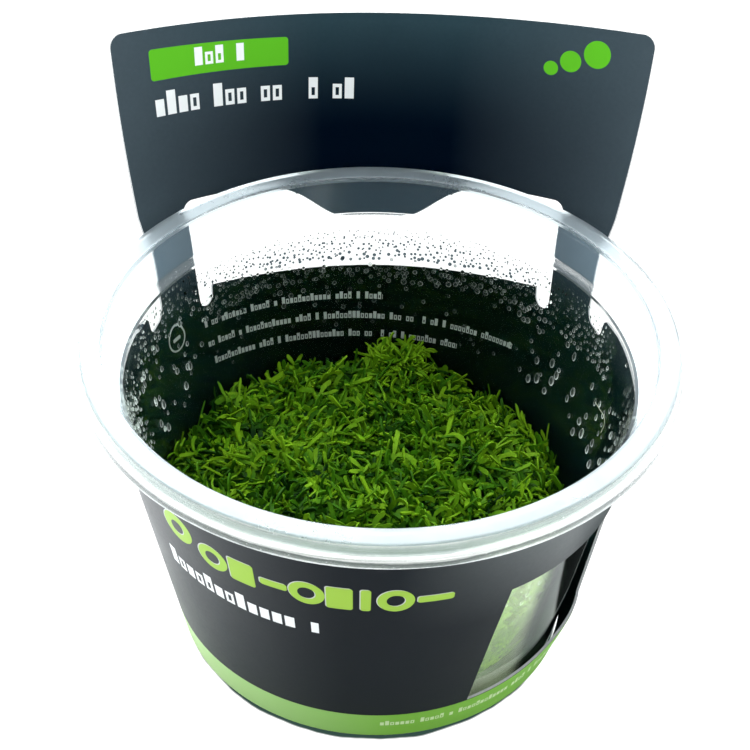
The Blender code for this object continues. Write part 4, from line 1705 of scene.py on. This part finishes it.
@dataclass
class Studio:
    """A pale floor, plain white to the camera but with painted light and shadow in what it lights and
    reflects, soft lights and the camera.
    """

    camera_place: Vector = field(default_factory=lambda: Vector((-10.80, -247.345, 259.18)) * MM)
    camera_aim: Vector = field(default_factory=lambda: Vector((-0.736, 0.03, 53.30)) * MM)
    camera_roll: float = math.radians(1.835)
    focal: float = 1902.58
    picture: float = 750.0
    sensor: float = 36.0
    backdrop: float = 1.25
    # Painted light and shadow on the floor, seen only in what it lights and reflects:
    floor_glow_colour: Colour = (0.95, 0.98, 1.0)
    floor_glow: float = 0.9
    floor_tones: tuple[Colour, Colour] = ((0.86, 0.87, 0.88), (0.90, 0.90, 0.90))
    floor_front_shadow: Colour = (0.4, 0.41, 0.42)
    patch: tuple[float, float, float, float] = (30.0 * MM, 78.0 * MM, -10.0 * MM, 72.0 * MM)
    patch_shadow_colour: Colour = (0.01, 0.012, 0.012)
    shadow: Colour = (0.03, 0.06, 0.05)
    shadow_edge: Point2 = (35.0 * MM, 35.4 * MM)
    shadow_wander: float = 1.4 * MM
    room: Point2 = (0.6, 1.2)
    room_colour: Colour = (0.93, 0.97, 1.0)

    def add_camera(self) -> None:
        """Place the camera as the photograph was taken."""
        lens = bpy.data.cameras.new("camera")
        lens.sensor_width = self.sensor
        lens.sensor_fit = "HORIZONTAL"
        lens.lens = self.focal / self.picture * self.sensor
        lens.clip_start = 0.01
        lens.clip_end = 20.0
        camera = bpy.data.objects.new("camera", lens)
        bpy.context.scene.collection.objects.link(camera)
        ahead = (self.camera_aim - self.camera_place).normalized()
        right = ahead.cross(Vector((0, 0, 1))).normalized()
        upward = right.cross(ahead)
        rolled_right = right * math.cos(self.camera_roll) + upward * math.sin(self.camera_roll)
        rolled_up = upward * math.cos(self.camera_roll) - right * math.sin(self.camera_roll)
        turn = Matrix((rolled_right, rolled_up, -ahead)).transposed().to_4x4()
        camera.matrix_world = Matrix.Translation(self.camera_place) @ turn
        bpy.context.scene.camera = camera

    def add_floor(self) -> None:
        """Lay a white floor with painted light and shadow for what it lights and reflects: a painted shadow
        in front of the cup, a glow at the sides and a dark patch at the right.
        """
        deselect_all()
        bpy.ops.mesh.primitive_plane_add(size=6.0, location=(0, 0, -0.02 * MM))
        floor = bpy.context.object
        floor.name = "floor"
        shader = Finish("pale_floor")
        place = shader.place()
        x, y, _ = shader.split(place)
        aside = shader.span(shader.whole(x), 0.03, 0.12)
        pale = shader.mix(shader.mottle(place, 4.0, 40.0, 0.3), *self.floor_tones)
        # Painted shadow: the floor is darker in front of the cup.
        base = shader.mix(shader.most(shader.span(y, -0.12, 0.0), aside), self.floor_front_shadow, pale)
        patch = self.painted_shadow_patch(shader, x, y)
        # Painted light: the floor glows at the sides, except on the dark patch, which is painted shadow.
        shader.glow(shader.times(aside, self.floor_glow, shader.minus(1.0, patch)), self.floor_glow_colour)
        colour = shader.mix(patch, base, self.patch_shadow_colour)
        floor.data.materials.append(shader.paint(Base_Color=colour, Roughness=0.9, Specular_IOR_Level=0.1))
        output = shader.tree.nodes["Material Output"]
        self.whiten(shader, shader.surface.outputs[0], output, self.contact(shader, place))

    def painted_shadow_patch(self, shader: ShaderTree, x: Socket, y: Socket) -> Socket:
        """Return the mask of the painted shadow beside the cup at the right, which the cup's right side
        reflects.
        """
        left, right, front, back = self.patch
        edge = 2.0 * MM
        return shader.times(
            shader.span(x, left, left + edge),
            shader.span(x, right, right - 2 * edge),
            shader.span(y, front, front + edge),
            shader.span(y, back, back - 2 * edge),
        )

    def contact(self, shader: ShaderTree, place: Socket) -> Socket:
        """Return the mask of the contact shadow under the cup, whose edge wanders a little."""
        far = shader.add("ShaderNodeVectorMath", operation="LENGTH")
        shader.feed(far.inputs[0], place)
        wander = shader.times(shader.mottle(place, 90.0, share=0.0), self.shadow_wander)
        return shader.span(shader.plus(far.outputs["Value"], wander), *self.shadow_edge, 1.0, 0.0)

    def whiten(self, shader: ShaderTree, lit: Socket, output: Node, shade: object = 0.0) -> None:
        """Show a backdrop as even white where it is seen directly or straight through clear plastic.

        Args:
            shader: the backdrop's tree.
            lit: its shading for every other view.
            output: the tree's output node.
            shade: mask of where the backdrop is dark instead of white.
        """
        path = shader.add("ShaderNodeLightPath").outputs
        through = shader.times(path["Is Transmission Ray"], shader.less(path["Glossy Depth"], 0.5))
        seen = shader.most(path["Is Camera Ray"], through)
        colour = shader.mix(shade, WHITE, self.shadow)
        white = shader.fill(shader.add("ShaderNodeEmission"), Strength=self.backdrop, Color=colour)
        blend = shader.add("ShaderNodeMixShader")
        for socket, value in zip(blend.inputs, (seen, lit, white)):
            shader.feed(socket, value)
        shader.feed(output.inputs["Surface"], blend.outputs[0])

    def add_light(self, name: str, place: Vector, aim: Vector, size: float, power: float) -> None:
        """Add one soft square light.

        Args:
            name: the light's name.
            place: where it hangs.
            aim: the point it faces.
            size: its side.
            power: its power in watts.
        """
        lamp = bpy.data.lights.new(name, "AREA")
        lamp.shape = "SQUARE"
        lamp.size = size
        lamp.energy = power
        holder = bpy.data.objects.new(name, lamp)
        bpy.context.scene.collection.objects.link(holder)
        holder.location = place
        holder.rotation_euler = (aim - place).to_track_quat("-Z", "Y").to_euler()

    def add_world(self) -> None:
        """Fill the room with soft white light, dimmer towards the camera's side."""
        world = bpy.data.worlds.new("room")
        bpy.context.scene.world = world
        world.use_nodes = True
        shader = ShaderTree(world.node_tree)
        ground = world.node_tree.nodes["Background"]
        sideways = shader.whole(shader.split(shader.add("ShaderNodeTexCoord").outputs["Generated"])[0])
        strength = shader.span(sideways, 0.1, 0.7, *self.room)
        lit = shader.fill(ground, Strength=strength, Color=self.room_colour)
        self.whiten(shader, lit, world.node_tree.nodes["World Output"])

    def build(self) -> None:
        """Set the stage."""
        self.add_camera()
        self.add_floor()
        middle = Vector((0.0, 0.0, 0.04))
        self.add_light("back_light", Vector((-0.08, 0.62, 0.78)), middle, 0.72, 16.0)
        self.add_light("top_light", Vector((0.0, -0.1, 0.9)), middle, 0.5, 3.0)
        self.add_world()
        bpy.context.scene.view_settings.view_transform = "Standard"
        bpy.context.scene.view_settings.look = "None"


def main() -> None:
    """Build every piece in order and log it."""
    logging.basicConfig(level=logging.INFO, format="%(message)s")
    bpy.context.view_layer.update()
    Studio().build()
    cup = ClearCup()
    cup.build()
    CardSleeve().build()
    Jelly(cup).build()
    PlantMat(cup).build()
    WallDrops(cup).build()
    PaleThread().build()


if __name__ == "__main__":
    main()
